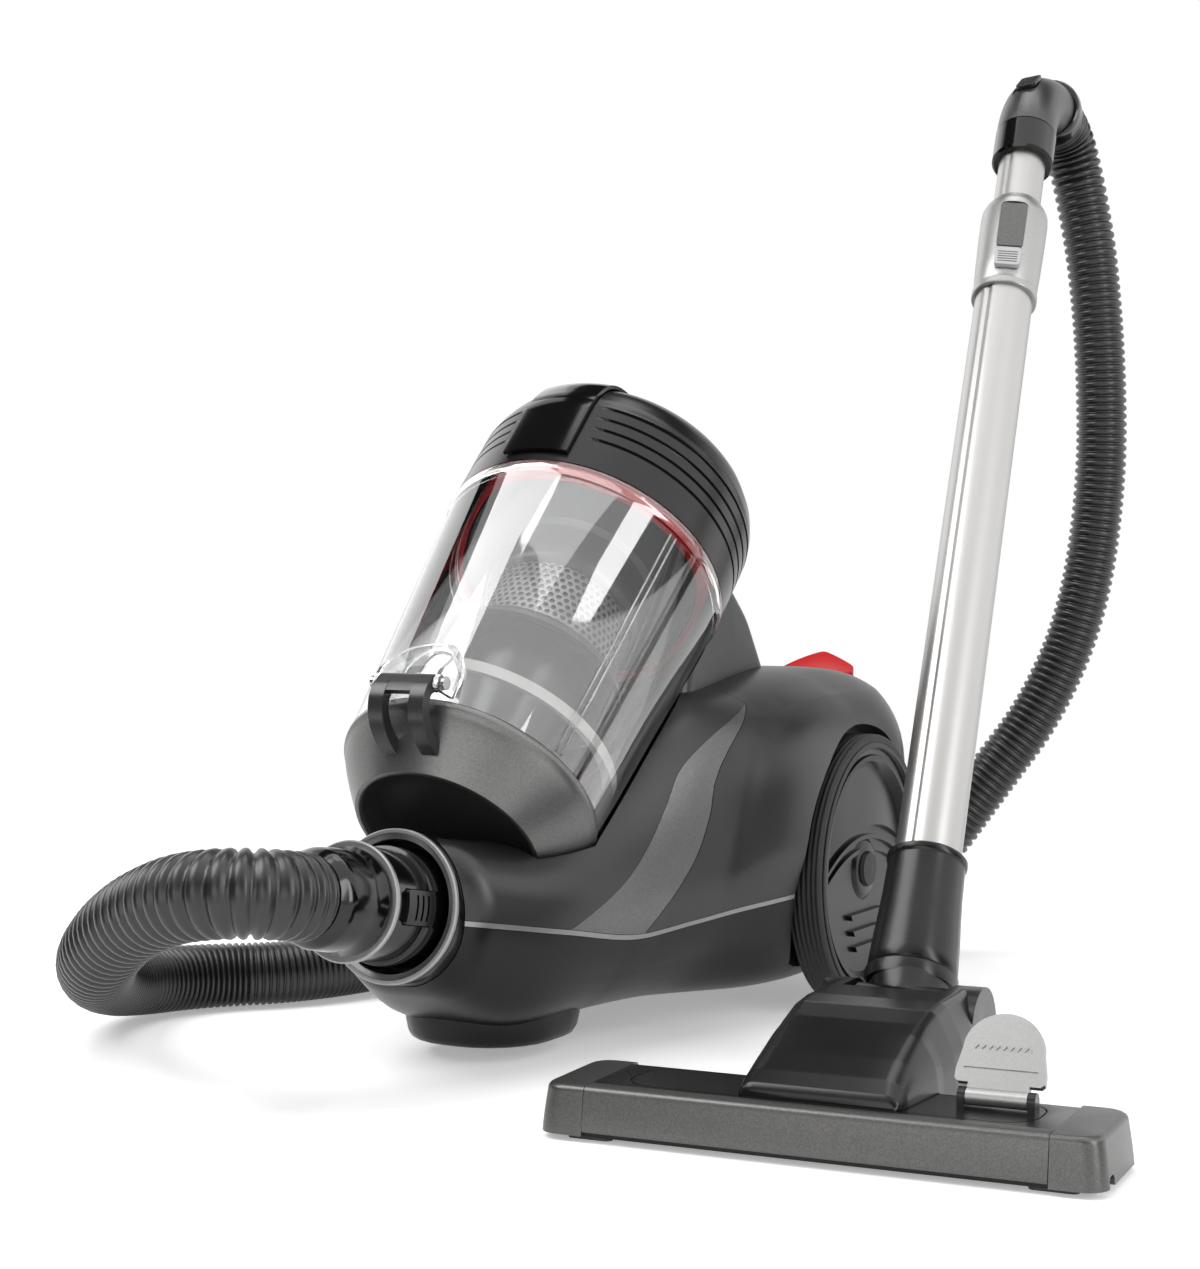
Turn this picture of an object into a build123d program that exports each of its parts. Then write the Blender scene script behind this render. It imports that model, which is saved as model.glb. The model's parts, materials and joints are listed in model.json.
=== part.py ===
"""Canister vacuum cleaner: rolling canister with a lift-off dust cup, stretch hose,
telescopic wand and floor head. Millimetres, +Z up, floor at Z = 0, -Y is the front."""

from build123d import *
from math import cos, pi, radians, sin, tan
import os

os.makedirs("parts", exist_ok=True)

# ---------------------------------------------------------------- driving dimensions
# Placement of the three groups in the shared frame
canister_x = -130.0  # symmetry plane of the canister
canister_y = -49.0  # zero station of the canister along Y
seat_gap = 0.3  # free space between pieces that must not rub
running_gap = 0.05  # radial clearance of a pin or shaft in its bore

# Canister hull
keel_clearance = 18.0  # underside above the floor
hull_half_width = 126.0  # at the wheels
seam_height = 70.0  # belt line at mid length
hood_height = 206.0  # top of the motor hood
hull_front = -172.0
hull_rear = 266.0
hull_wall = 3.0

# Rear wheels
wheel_radius = 82.9
wheel_width = 22.0
wheel_outer_x = 132.5
wheel_y = 153.4
well_gap = 6.0  # wheel to wheel arch
wheel_pin_radius = 7.0
tyre_thickness = 5.0

# Caster under the front
caster_y = -58.0
caster_wheel_radius = 12.0
caster_wheel_width = 16.0
caster_pin_radius = 2.5
caster_trail = 7.0
caster_stem_radius = 6.0
caster_stem_length = 14.0

# Dust cup, measured along its own leaning axis from the rim under the cap
cup_lean = 45.72  # axis back from vertical
cup_rim_y = 24.8
cup_rim_z = 267.2
cup_rim_radius = 85.9
cup_foot_radius = 73.65
cup_length = 174.1
cup_wall_thickness = 2.5
cap_height = 88.0
cap_dome = 30.0
cap_radius = 86.5
door_height = 34.3
door_rim_height = 3.0  # straight rim above the door's cone
door_mouth_radius = 53.1
door_recess_depth = 14.0
cup_lift = 230.0  # travel of the cup out of its cradle
shroud_radius = 46.0
shroud_length = 74.0

# Hose inlet
inlet_y = -177.9
inlet_z = 91.7
inlet_rise = 10.4  # inlet axis above the horizontal
collar_radius = 40.4
connector_radius = 31.0
connector_length = 40.0
cuff_radius = 26.0
cuff_length = 34.0

# Hose
hose_diameter = 38.0
hose_wall = 1.5

# Wand
wand_point = (100.0, -42.2, 155.8)  # a point on the axis
wand_lean = 35.25  # back from vertical
wand_turn = 9.39  # plan angle of the lean, towards -X
wand_face = 21.0  # plan angle that buttons face, from -Y towards +X
tube_radius = 17.5
tube_wall = 1.2
inner_tube_radius = 14.7
inner_tube_wall = 1.0
tube_foot = -66.0  # stations along the wand axis
collar_foot = 336.7
collar_top = 414.0
handle_foot = 452.0
inner_tube_hidden = 250.0  # length held inside the outer tube when retracted
wand_travel = 220.0

# Neck
neck_radius = 21.3
neck_top = -52.0
neck_foot = -120.0
elbow_radius = 24.0

# Floor head
head_x = 128.5
head_y = -283.6  # middle of the front bottom edge
head_turn = 3.9
head_length = 266.6
head_depth = 67.7
head_height = 25.8
head_floor_gap = 2.0
pivot_depth = 146.0  # from the front edge back to the pitch axis
pivot_height = 38.0
pivot_radius = 20.0


# ---------------------------------------------------------------- planes
def beside(offset=0.0):
    """Plane of a canister side view: local x runs to the rear, local y runs up."""
    return Plane(origin=(canister_x + offset, canister_y, 0), x_dir=(0, 1, 0), z_dir=(1, 0, 0))


def across(station):
    """Cross section of the canister at a station along Y, seen from the rear."""
    return Plane(origin=(canister_x, canister_y + station, 0), x_dir=(-1, 0, 0), z_dir=(0, 1, 0))


def above(height=0.0):
    """Plan of the canister at a height."""
    return Plane(origin=(canister_x, canister_y, height))


cup_axis = (0, sin(radians(cup_lean)), cos(radians(cup_lean)))
cup_plane = Plane(
    origin=(canister_x, canister_y + cup_rim_y, cup_rim_z), x_dir=(1, 0, 0), z_dir=cup_axis
)
inlet_axis = (0, -cos(radians(inlet_rise)), sin(radians(inlet_rise)))
inlet_plane = Plane(
    origin=(canister_x, canister_y + inlet_y, inlet_z), x_dir=(1, 0, 0), z_dir=inlet_axis
)
wand_axis = (
    -sin(radians(wand_lean)) * sin(radians(wand_turn)),
    sin(radians(wand_lean)) * cos(radians(wand_turn)),
    cos(radians(wand_lean)),
)
wand_plane = Plane(
    origin=wand_point, x_dir=(cos(radians(wand_face)), sin(radians(wand_face)), 0), z_dir=wand_axis
)
head_plane = Plane(
    origin=(head_x, head_y, 0), x_dir=(cos(radians(head_turn)), sin(radians(head_turn)), 0)
)


def half_section(plane, turn=0.0):
    """Plane holding a turned piece's axis as local y, with local x the radius."""
    radial = plane.x_dir.rotate(Axis((0, 0, 0), plane.z_dir), turn)
    return Plane(origin=plane.origin, x_dir=radial, z_dir=radial.cross(plane.z_dir))


def axis_of(plane):
    return Axis(plane.origin, plane.z_dir)


def turned(plane, outline, turn=0.0, arc=360.0):
    """Solid of revolution from (radius, station) points about a plane's z axis."""
    with BuildPart() as piece:
        with BuildSketch(half_section(plane, turn)):
            with BuildLine():
                Polyline(*outline, close=True)
            make_face()
        revolve(axis=axis_of(plane), revolution_arc=arc)
    return piece.part


def ring(plane, outer, inner, low, high):
    """Plain tube or ring between two stations on a plane's z axis."""
    with BuildPart() as piece:
        with BuildSketch(plane.offset(low)):
            Circle(outer)
            Circle(inner, mode=Mode.SUBTRACT)
        extrude(amount=high - low)
    return piece.part


def disc(plane, radius, low, high):
    """Plain cylinder between two stations on a plane's z axis."""
    with BuildPart() as piece:
        with BuildSketch(plane.offset(low)):
            Circle(radius)
        extrude(amount=high - low)
    return piece.part


# ---------------------------------------------------------------- canister hull
# station along Y, then (half width, height) of keel, seam, shoulder and top edge
seam_drop = hull_half_width - 108.0
hull_stations = [
    (hull_front, (30, 50), (47, 84), (46, 108), (26, 128)),
    (-120, (46, keel_clearance + 4), (67, 74), (66, 100), (44, 122)),
    (-55, (48, keel_clearance), (84, 66), (80, 110), (62, 140)),
    (10, (62, keel_clearance), (104, seam_height), (97, 150), (72, 186)),
    (75, (104, keel_clearance), (hull_half_width - 2, 75), (118, 165), (78, hood_height - 8)),
    (150, (108, keel_clearance), (hull_half_width, 80), (121, 174), (84, hood_height)),
    (225, (98, keel_clearance + 8), (hull_half_width - 6, 80), (114, 172), (90, hood_height - 6)),
    (hull_rear - 16, (88, keel_clearance + 18), (112, 82), (110, 156), (82, hood_height - 12)),
    (hull_rear, (70, keel_clearance + 34), (100, 84), (98, 140), (70, hood_height - 24)),
]


def hull(inset=0.0, rounding=12.0, ruled=False):
    """Outer form of both housings, or that form drawn in by a wall."""
    with BuildPart() as form:
        for station, keel, seam, shoulder, top in hull_stations:
            middle = (hull_front + hull_rear) / 2
            drawn_in = station + (inset if station < middle else -inset) * (station in (hull_front, hull_rear))
            with BuildSketch(across(drawn_in)):
                with BuildLine():
                    Polyline(
                        (keel[0] - inset, keel[1] + inset),
                        (seam[0] - inset, seam[1]),
                        (shoulder[0] - inset, shoulder[1] - inset / 2),
                        (top[0] - inset, top[1] - inset),
                        (inset - top[0], top[1] - inset),
                        (inset - shoulder[0], shoulder[1] - inset / 2),
                        (inset - seam[0], seam[1]),
                        (inset - keel[0], keel[1] + inset),
                        close=True,
                    )
                make_face()
                fillet(vertices(), rounding)
        loft(ruled=ruled)
    return form.part


# side-view curves (along Y, height) that part the hull into its mouldings
seam_curve = [(-220, 90), (-175, 84), (-112, 73), (-57, 64), (-11, 67), (37, 72), (88, 76), (160, 78), (300, 78)]
trim_front_curve = [(-135, 60), (-88, 82), (-55, 116), (-24, 152), (16, 176), (50, 190)]
trim_rear_curve = [(-76, 60), (-44, 86), (-17, 112), (0, 146), (22, 170), (54, 184)]
spine_profile = [(10, 110), (60, 246), (100, 262), (128, 240), (146, 216), (160, 196), (170, 150), (170, 110)]
spine_half_width = 60.0
spine_rear = 170.0
strip_top_y = 56.0
cup_clearance = 1.5
well_inner_x = wheel_outer_x - wheel_width - 2
hinge_barrel_length = 34.0
hinge_ear = 4.0
cup_side = Plane(origin=cup_plane.origin, x_dir=cup_plane.y_dir, z_dir=cup_plane.x_dir)  # rearwards, up the axis
split_reach = hull_half_width + 30
band_height = 3.0  # light trim line along the seam


def below_seam(drop=0.0):
    """Everything under the belt line, lowered by a drop."""
    with BuildPart() as region:
        with BuildSketch(beside()):
            with BuildLine():
                line = Spline(*[(y, z - drop) for y, z in seam_curve])
                Polyline(line @ 1, (300, -20), (-220, -20), line @ 0)
            make_face()
        extrude(amount=split_reach, both=True)
    return region.part


def wheel_wells(grow=0.0):
    """Room for both rear wheels."""
    with BuildPart() as room:
        for side in (-1, 1):
            with BuildSketch(beside(side * (well_inner_x - grow))):
                with Locations((wheel_y, wheel_radius)):
                    Circle(wheel_radius + well_gap + grow)
            extrude(amount=side * 60)
    return room.part


def cup_room(grow=0.0):
    """Room that the cup, its cap and its door need to seat and to lift straight out."""
    free = cup_clearance + grow
    return turned(
        cup_plane,
        [
            (0, -cup_length - door_height - free),
            (door_mouth_radius + free, -cup_length - door_height - free),
            (cup_foot_radius + free, -cup_length - seat_gap - door_rim_height - free),
            (cup_foot_radius + free, -cup_length),
            (cup_rim_radius + free, -1),
            (cap_radius + free, 0),
            (cap_radius + free, 300),
            (0, 300),
        ],
    )


def hinge_room(grow=0.0):
    """Room in front of the cup for its door hinge, open along the lifting direction."""
    free = cup_clearance + grow
    with BuildPart() as room:
        with BuildSketch(cup_side):
            with BuildLine():
                Polyline(
                    (-cup_foot_radius, -cup_length - 32 - free),
                    (-cup_foot_radius - 14, -cup_length - 22 - free),
                    (-cup_foot_radius - 20 - free, -cup_length - 10),
                    (-cup_foot_radius - 20 - free, 40),
                    (-cup_foot_radius, 40),
                    close=True,
                )
            make_face()
        extrude(amount=hinge_barrel_length / 2 + hinge_ear + 2 + free, both=True)
    return room.part


def inlet_room(grow=0.0):
    """Bore for the inlet collar through the nose."""
    return disc(inlet_plane, collar_radius + seat_gap + grow, -34 - grow, 60)


def spine(inset=0.0):
    """Raised block behind the cup, at full size or drawn in by a wall."""
    with BuildPart() as block:
        with BuildSketch(beside()):
            with BuildLine():
                Polyline(*spine_profile, close=True)
            make_face()
            if inset:
                offset(amount=-inset, kind=Kind.INTERSECTION)
            else:
                fillet(vertices().sort_by(Axis.Z)[-4:], 8)
        extrude(amount=spine_half_width - inset, both=True)
    return block.part


def trim_region(side, gap=0.0):
    """Sweeping side strip between its two side-view curves, on one side of the canister."""
    with BuildPart() as region:
        with BuildSketch(beside(side * (spine_half_width + gap))):
            with BuildLine():
                front = Spline(*[(y + gap, z) for y, z in trim_front_curve])
                rear = Spline(*[(y - gap, z) for y, z in trim_rear_curve])
                Line(front @ 0, rear @ 0)
                Line(front @ 1, rear @ 1)
            make_face()
        extrude(amount=side * 100)
        add(cup_room(hull_wall + 1 + gap), mode=Mode.SUBTRACT)
    return region.part


def hood_region(gap=0.0):
    """Everything behind the side strips, and behind the spine in the middle."""
    foot_y = trim_rear_curve[0][0] + gap
    with BuildPart() as region:
        for side in (-1, 1):
            with BuildSketch(beside(side * (spine_half_width + gap))):
                with BuildLine():
                    rear = Spline(*[(y + gap, z) for y, z in trim_rear_curve])
                    Polyline(rear @ 1, (strip_top_y, 260), (320, 260), (320, 20), (foot_y, 20), rear @ 0)
                make_face()
            extrude(amount=side * 100)
        with BuildSketch(beside()):
            with BuildLine():
                Polyline((spine_rear + gap, 20), (spine_rear + gap, 260), (320, 260), (320, 20), close=True)
            make_face()
        extrude(amount=split_reach, both=True)
    return region.part


outer_form = hull(ruled=True)
inner_form = hull(hull_wall, ruled=True)

# hollow inside both housings: walls stay round the wheels, the cup, the inlet and the spine
with BuildPart() as hollow:
    add(inner_form)
    add(spine(hull_wall))
    add([wheel_wells(hull_wall), cup_room(hull_wall), hinge_room(hull_wall), inlet_room(hull_wall)], mode=Mode.SUBTRACT)

with BuildPart() as solid_form:
    add(outer_form)
    add(spine())
    add([wheel_wells(), cup_room(), hinge_room(), inlet_room()], mode=Mode.SUBTRACT)

with BuildPart() as shell:
    add(solid_form.part)
    add(hollow.part, mode=Mode.SUBTRACT)

# chassis base: the dark tray under the belt line
with BuildPart() as chassis_base:
    add(shell.part)
    add(below_seam(seat_gap), mode=Mode.INTERSECT)

with BuildPart() as upper_shell:
    add(shell.part)
    add(below_seam(-band_height), mode=Mode.SUBTRACT)

with BuildPart() as seam_trim:
    add(shell.part)
    add(below_seam(-band_height + seat_gap), mode=Mode.INTERSECT)
    add(below_seam(0), mode=Mode.SUBTRACT)

# rear hood: the cover over the motor, with the fenders over the wheels
with BuildPart() as rear_hood:
    add(upper_shell.part)
    add(hood_region(seat_gap), mode=Mode.INTERSECT)

with BuildPart() as side_trim_right:
    add(upper_shell.part)
    add(trim_region(1, seat_gap), mode=Mode.INTERSECT)

with BuildPart() as side_trim_left:
    add(upper_shell.part)
    add(trim_region(-1, seat_gap), mode=Mode.INTERSECT)

# front housing: nose, cradle for the cup and the spine behind it
with BuildPart() as front_housing:
    add(upper_shell.part)
    add([hood_region(), trim_region(1), trim_region(-1)], mode=Mode.SUBTRACT)

# chassis details: caster housing, wheel pin bosses, and room for both in the housings
caster_pocket_radius = caster_wheel_radius + caster_trail + 4
caster_roof = 31.0
caster_roof_top = 37.0
boss_radius = 12.0
pin_inner_x = wheel_outer_x - wheel_width - 18
with BuildPart() as chassis:
    add(chassis_base.part)
    with BuildSketch(above(keel_clearance + 1)):
        with Locations((0, caster_y)):
            Circle(caster_pocket_radius + hull_wall)
    extrude(amount=caster_roof_top - keel_clearance - 1)
    with BuildSketch(above(-5)):
        with Locations((0, caster_y)):
            Circle(caster_pocket_radius)
    extrude(amount=caster_roof + 5, mode=Mode.SUBTRACT)
    with BuildSketch(above(-5)):
        with Locations((0, caster_y)):
            Circle(caster_stem_radius + running_gap)
    extrude(amount=80, mode=Mode.SUBTRACT)
    for side in (-1, 1):
        with BuildSketch(beside(side * pin_inner_x)):
            with Locations((wheel_y, wheel_radius)):
                Circle(boss_radius)
            with Locations((wheel_y, (keel_clearance + 2 + wheel_radius) / 2)):
                Rectangle(2 * boss_radius, wheel_radius - keel_clearance - 2)
        extrude(amount=side * (well_inner_x - pin_inner_x))
        with BuildSketch(beside(side * (pin_inner_x - 5))):
            with Locations((wheel_y, wheel_radius)):
                Circle(wheel_pin_radius)
        extrude(amount=side * 30, mode=Mode.SUBTRACT)


def boss_room():
    """Room round both wheel pin bosses where they rise past the belt line."""
    with BuildPart() as room:
        for side in (-1, 1):
            with BuildSketch(beside(side * (pin_inner_x - 1))):
                with Locations((wheel_y, wheel_radius)):
                    Circle(boss_radius + seat_gap)
                with Locations((wheel_y, wheel_radius / 2)):
                    Rectangle(2 * (boss_radius + seat_gap), wheel_radius)
            extrude(amount=side * 30)
    return room.part


with BuildPart() as seam_band:
    add(seam_trim.part)
    add(boss_room(), mode=Mode.SUBTRACT)


# foot pedals on the hood: power on the right, cord rewind on the left
pedal_corners = [(32, 226, 198), (54, 222, 190), (84, 250, 200), (54, 257, 210)]
pedal_sink = 178.0
pedal_travel = 4.0
pedal_dome = 150.0
pedal_gap = 0.5


def pedal_outline(side, grow=0.0):
    """Plan of a hood pedal with rounded corners."""
    with BuildSketch(above(pedal_sink)) as plan:
        with BuildLine():
            Polyline(*[(side * x, y) for x, y, z in pedal_corners], close=True)
        make_face()
        fillet(plan.vertices(), 5)
        offset(amount=grow)
    return plan.sketch


def hood_pedal(side):
    """Domed pedal: plan prism under a large sphere through its four corners."""
    corners = [Vector(canister_x + side * x, canister_y + y, z) for x, y, z in pedal_corners]
    middle = (corners[0] + corners[1] + corners[2] + corners[3]) * 0.25
    square = (corners[1] - corners[0]).cross(corners[3] - corners[0]).normalized() * side
    centre = middle + square * 4 - square * pedal_dome
    with BuildPart() as piece:
        add(pedal_outline(side, 0.001))
        extrude(amount=50)
        with Locations(centre):
            Sphere(pedal_dome, mode=Mode.INTERSECT)
    return piece.part


power_pedal = hood_pedal(1)
rewind_pedal = hood_pedal(-1)

outlet_x = -42.0
outlet_z = 112.0
outlet_radius = 6.0
vent_rows = 5
with BuildPart() as hood_cover:
    add(rear_hood.part)
    add(boss_room(), mode=Mode.SUBTRACT)
    for side in (-1, 1):
        add(pedal_outline(side, pedal_gap))
        extrude(amount=60, mode=Mode.SUBTRACT)
    with BuildSketch(across(hull_rear - 12)):
        with Locations((-outlet_x, outlet_z)):
            Circle(outlet_radius)
        for row in range(vent_rows):
            with Locations((-18, 96 + 9 * row)):
                SlotOverall(72, 4)
    extrude(amount=20, mode=Mode.SUBTRACT)

# catch that holds the cup's rim, in a slot of the spine
catch_x = 41.0
catch_width = 10.0
catch_nose = 79.5
catch_low = -24.0
catch_height = 20.0
catch_travel = 3.0
catch_depth = 15.0
with BuildPart() as cup_catch:
    with BuildSketch(cup_side.offset(catch_x - catch_width / 2)):
        with BuildLine():
            Polyline(
                (catch_nose, catch_low + 4),
                (catch_nose, catch_low + catch_height - 2),
                (catch_nose + 3, catch_low + catch_height),
                (catch_nose + catch_depth, catch_low + catch_height),
                (catch_nose + catch_depth, catch_low),
                (catch_nose + 3, catch_low),
                close=True,
            )
        make_face()
    extrude(amount=catch_width)
with BuildPart() as cradle:
    add(front_housing.part)
    with BuildSketch(cup_side.offset(catch_x - catch_width / 2 - seat_gap)):
        with Locations((catch_nose + 4, catch_low + catch_height / 2)):
            Rectangle(20, catch_height + 2 * seat_gap)
    extrude(amount=catch_width + 2 * seat_gap, mode=Mode.SUBTRACT)

# motor, fan and cord reel inside
motor_y = 150.0
motor_z = 86.0
motor_radius = 46.0
motor_low = -22.0
motor_length = 68.0
shaft_radius = 4.0
blade_count = 9
motor_plane = Plane(
    origin=(canister_x + motor_low, canister_y + motor_y, motor_z), x_dir=(0, 1, 0), z_dir=(1, 0, 0)
)
with BuildPart() as motor_can:
    add(
        turned(
            motor_plane,
            [
                (shaft_radius + running_gap, 0),
                (motor_radius - 10, 0),
                (motor_radius, 8),
                (motor_radius, motor_length),
                (motor_radius - 6, motor_length),
                (motor_radius - 6, motor_length - 12),
                (shaft_radius + running_gap, motor_length - 12),
            ],
        )
    )
    with BuildSketch(beside(motor_low + 14)):
        with Locations((motor_y, (motor_z + keel_clearance) / 2)):
            Rectangle(motor_radius, motor_z - keel_clearance)
    extrude(amount=motor_length - 20)
    add(hollow.part, mode=Mode.INTERSECT)
    with BuildSketch(motor_plane.offset(motor_length - 12)):
        Circle(motor_radius - 6)
    extrude(amount=14, mode=Mode.SUBTRACT)
    with BuildSketch(motor_plane.offset(-1)):
        Circle(shaft_radius + running_gap)
    extrude(amount=motor_length, mode=Mode.SUBTRACT)
with BuildPart() as motor_fan:
    with BuildSketch(motor_plane.offset(2)):
        Circle(shaft_radius)
    extrude(amount=motor_length - 4)
    with BuildSketch(motor_plane.offset(motor_length - 10)):
        Circle(motor_radius - 8)
    extrude(amount=2)
    with BuildSketch(motor_plane.offset(motor_length - 8)):
        with PolarLocations(24, blade_count):
            with Locations(Location((0, 0, 0), (0, 0, 25))):
                Rectangle(22, 1.6)
    extrude(amount=6)

reel_y = 176.0
reel_z = 118.0
reel_radius = 52.0
reel_low = -72.0
reel_width = 34.0
reel_core = 24.0
reel_pin_radius = 5.0
reel_plane = Plane(
    origin=(canister_x + reel_low, canister_y + reel_y, reel_z), x_dir=(0, 1, 0), z_dir=(1, 0, 0)
)
cord_reel = turned(
    reel_plane,
    [
        (reel_pin_radius + running_gap, 0),
        (reel_radius, 0),
        (reel_radius, 2),
        (reel_core, 2),
        (reel_core, reel_width - 2),
        (reel_radius, reel_width - 2),
        (reel_radius, reel_width),
        (reel_pin_radius + running_gap, reel_width),
    ],
)
with BuildPart() as reel_post:
    with BuildSketch(beside(reel_low - 8)):
        with Locations((reel_y, reel_z / 2)):
            Rectangle(26, reel_z)
        with Locations((reel_y, reel_z)):
            Circle(13)
    extrude(amount=5)
    add(hollow.part, mode=Mode.INTERSECT)
    with BuildSketch(beside(reel_low - 8)):
        with Locations((reel_y, reel_z)):
            Circle(reel_pin_radius)
    extrude(amount=8 + reel_width + 3)
    with BuildSketch(beside(reel_low + reel_width + seat_gap)):
        with Locations((reel_y, reel_z)):
            Circle(reel_pin_radius + 2)
    extrude(amount=2)

with BuildPart() as chassis_tray:
    add(chassis.part)
    add(reel_post.part)

# ---------------------------------------------------------------- dust cup
door_top = -cup_length - seat_gap
door_foot = -cup_length - door_height
hinge_out = 11.5  # hinge pin in front of the cup's wall
hinge_y = -(cup_foot_radius + hinge_out)
hinge_level = -cup_length
hinge_barrel_radius = 5.0
hinge_pin_radius = 2.0
hinge_arm_width = 9.0
hinge_arm_x = 12.5

# clear cup: tapering wall with a rolled rim and the two ears of the door hinge
with BuildPart() as dust_cup:
    add(
        turned(
            cup_plane,
            [
                (cup_foot_radius, -cup_length),
                (cup_rim_radius - 1.2, -5),
                (cup_rim_radius + 0.6, -4),
                (cup_rim_radius + 0.6, -seat_gap),
                (cup_rim_radius - cup_wall_thickness, -seat_gap),
                (cup_foot_radius - cup_wall_thickness, -cup_length),
            ],
        )
    )
    ear_x = hinge_barrel_length / 2 + seat_gap
    for side in (-1, 1):
        with BuildSketch(cup_side.offset(side * ear_x)):
            with BuildLine():
                Polyline(
                    (-cup_foot_radius + 3.5, hinge_level + 3),
                    (hinge_y - 1, hinge_level - 5),
                    (hinge_y - 5, hinge_level),
                    (hinge_y - 4, hinge_level + 8),
                    (-cup_foot_radius - 1, hinge_level + 26),
                    (-cup_foot_radius + 1.5, hinge_level + 26),
                    close=True,
                )
            make_face()
            fillet(vertices().sort_by(Axis.Y)[:3], 2)
            with Locations((hinge_y, hinge_level)):
                Circle(hinge_pin_radius + running_gap, mode=Mode.SUBTRACT)
        extrude(amount=side * hinge_ear)

# bottom door: cone, domed recess underneath and its two curved hinge arms
with BuildPart() as cup_door:
    add(
        turned(
            cup_plane,
            [
                (0, door_top),
                (cup_foot_radius, door_top),
                (cup_foot_radius, door_top - door_rim_height),
                (door_mouth_radius, door_foot),
                (door_mouth_radius - 4, door_foot),
                (door_mouth_radius - 10, door_foot + door_recess_depth - 4),
                (door_mouth_radius - 24, door_foot + door_recess_depth),
                (0, door_foot + door_recess_depth + 2),
            ],
        )
    )
    with BuildSketch(cup_side.offset(-hinge_barrel_length / 2)):
        with Locations((hinge_y, hinge_level)):
            Circle(hinge_barrel_radius)
    extrude(amount=hinge_barrel_length)
    for x in (-hinge_arm_x, hinge_arm_x):
        with BuildSketch(cup_side.offset(x - hinge_arm_width / 2)):
            with BuildLine():
                outer = Spline(
                    (hinge_y - hinge_barrel_radius + 0.2, hinge_level),
                    (hinge_y - 4, hinge_level - 13),
                    (hinge_y + 8, hinge_level - 24),
                    (hinge_y + 26, hinge_level - 30),
                )
                inner = Spline(
                    (hinge_y + hinge_barrel_radius - 0.2, hinge_level),
                    (hinge_y + 5, hinge_level - 10),
                    (hinge_y + 13, hinge_level - 18),
                    (hinge_y + 29, hinge_level - 24),
                )
                Line(outer @ 0, inner @ 0)
                Line(outer @ 1, inner @ 1)
            make_face()
        extrude(amount=hinge_arm_width)
    with BuildSketch(cup_side.offset(-hinge_arm_x)):
        with BuildLine():
            Polyline(
                (hinge_y - hinge_barrel_radius + 0.3, hinge_level + 1),
                (hinge_y - hinge_barrel_radius - 0.4, hinge_level - 8),
                (hinge_y - 1, hinge_level - 8),
                (hinge_y, hinge_level + 1),
                close=True,
            )
        make_face()
    extrude(amount=2 * hinge_arm_x)
    with BuildSketch(cup_side.offset(-hinge_barrel_length / 2 - 1)):
        with Locations((hinge_y, hinge_level)):
            Circle(hinge_pin_radius + running_gap)
    extrude(amount=hinge_barrel_length + 2, mode=Mode.SUBTRACT)

# steel pin through the ears and the door's barrel
with BuildPart() as door_pin:
    pin_reach = hinge_barrel_length / 2 + seat_gap + hinge_ear
    with BuildSketch(cup_side.offset(-pin_reach - 0.5)):
        with Locations((hinge_y, hinge_level)):
            Circle(hinge_pin_radius)
    extrude(amount=2 * pin_reach + 1)
    for side in (-1, 1):
        with BuildSketch(cup_side.offset(side * (pin_reach + 0.2))):
            with Locations((hinge_y, hinge_level)):
                Circle(hinge_pin_radius + 1.6)
        extrude(amount=side * 1.5)

# cap: shell with a shoulder and dome, four long grooves a side and a scoop for the fingers
groove_depth = 1.2
groove_width = 2.4
groove_pitch = 13.0
groove_first = 30.0
groove_count = 4
cap_wall = 3.0
cap_top = cap_height + cap_dome


def cap_crown(offset):
    """Points over the cap's shoulder to the crown, moved outwards by an offset."""
    return [
        (cap_radius - 1.5 + offset, cap_height - 12),
        (cap_radius - 8 + offset * 0.8, cap_height + 6 + offset * 0.6),
        (cap_radius - 26 + offset * 0.4, cap_height + 17 + offset * 0.9),
        (cap_radius - 50, cap_top - 5 + offset),
        (0, cap_top + offset),
    ]


def cap_solid(offset, low=0.0, grooved=False):
    """Cap form turned about the cup's axis; the grooves run round its skirt."""
    skirt = [(0, low), (cap_radius + offset, low)]
    if grooved:
        for row in range(groove_count):
            level = groove_first + row * groove_pitch
            skirt.append((cap_radius - 0.4, level))
            skirt.append((cap_radius - groove_depth - 0.4, level))
            skirt.append((cap_radius - groove_depth - 0.4, level + groove_width))
            skirt.append((cap_radius - 0.4, level + groove_width))
    points = cap_crown(offset)
    with BuildPart() as piece:
        with BuildSketch(half_section(cup_plane)):
            with BuildLine():
                crown = Spline(*points, tangents=((-0.05, 1), (-1, 0)))
                Polyline(crown @ 1, *skirt, crown @ 0)
            make_face()
        revolve(axis=axis_of(cup_plane))
    return piece.part


scoop_radius = 34.0
scoop_level = cap_top + 4
scoop_y = 6.0


def scoop(radius, reach=100):
    """Cylinder across the top of the cap that makes room for the fingers."""
    with BuildPart() as piece:
        with BuildSketch(cup_side.offset(-reach)):
            with Locations((scoop_y, scoop_level)):
                Circle(radius)
        extrude(amount=2 * reach)
    return piece.part


def cap_inside():
    """Room under the cap's wall and under the floor of the scoop."""
    with BuildPart() as piece:
        add(cap_solid(-cap_wall, -1))
        add(scoop(scoop_radius + cap_wall), mode=Mode.SUBTRACT)
    return piece.part


with BuildPart() as cup_cap:
    add(cap_solid(0, grooved=True))
    add(cap_inside(), mode=Mode.SUBTRACT)
    add(scoop(scoop_radius), mode=Mode.SUBTRACT)

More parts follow.
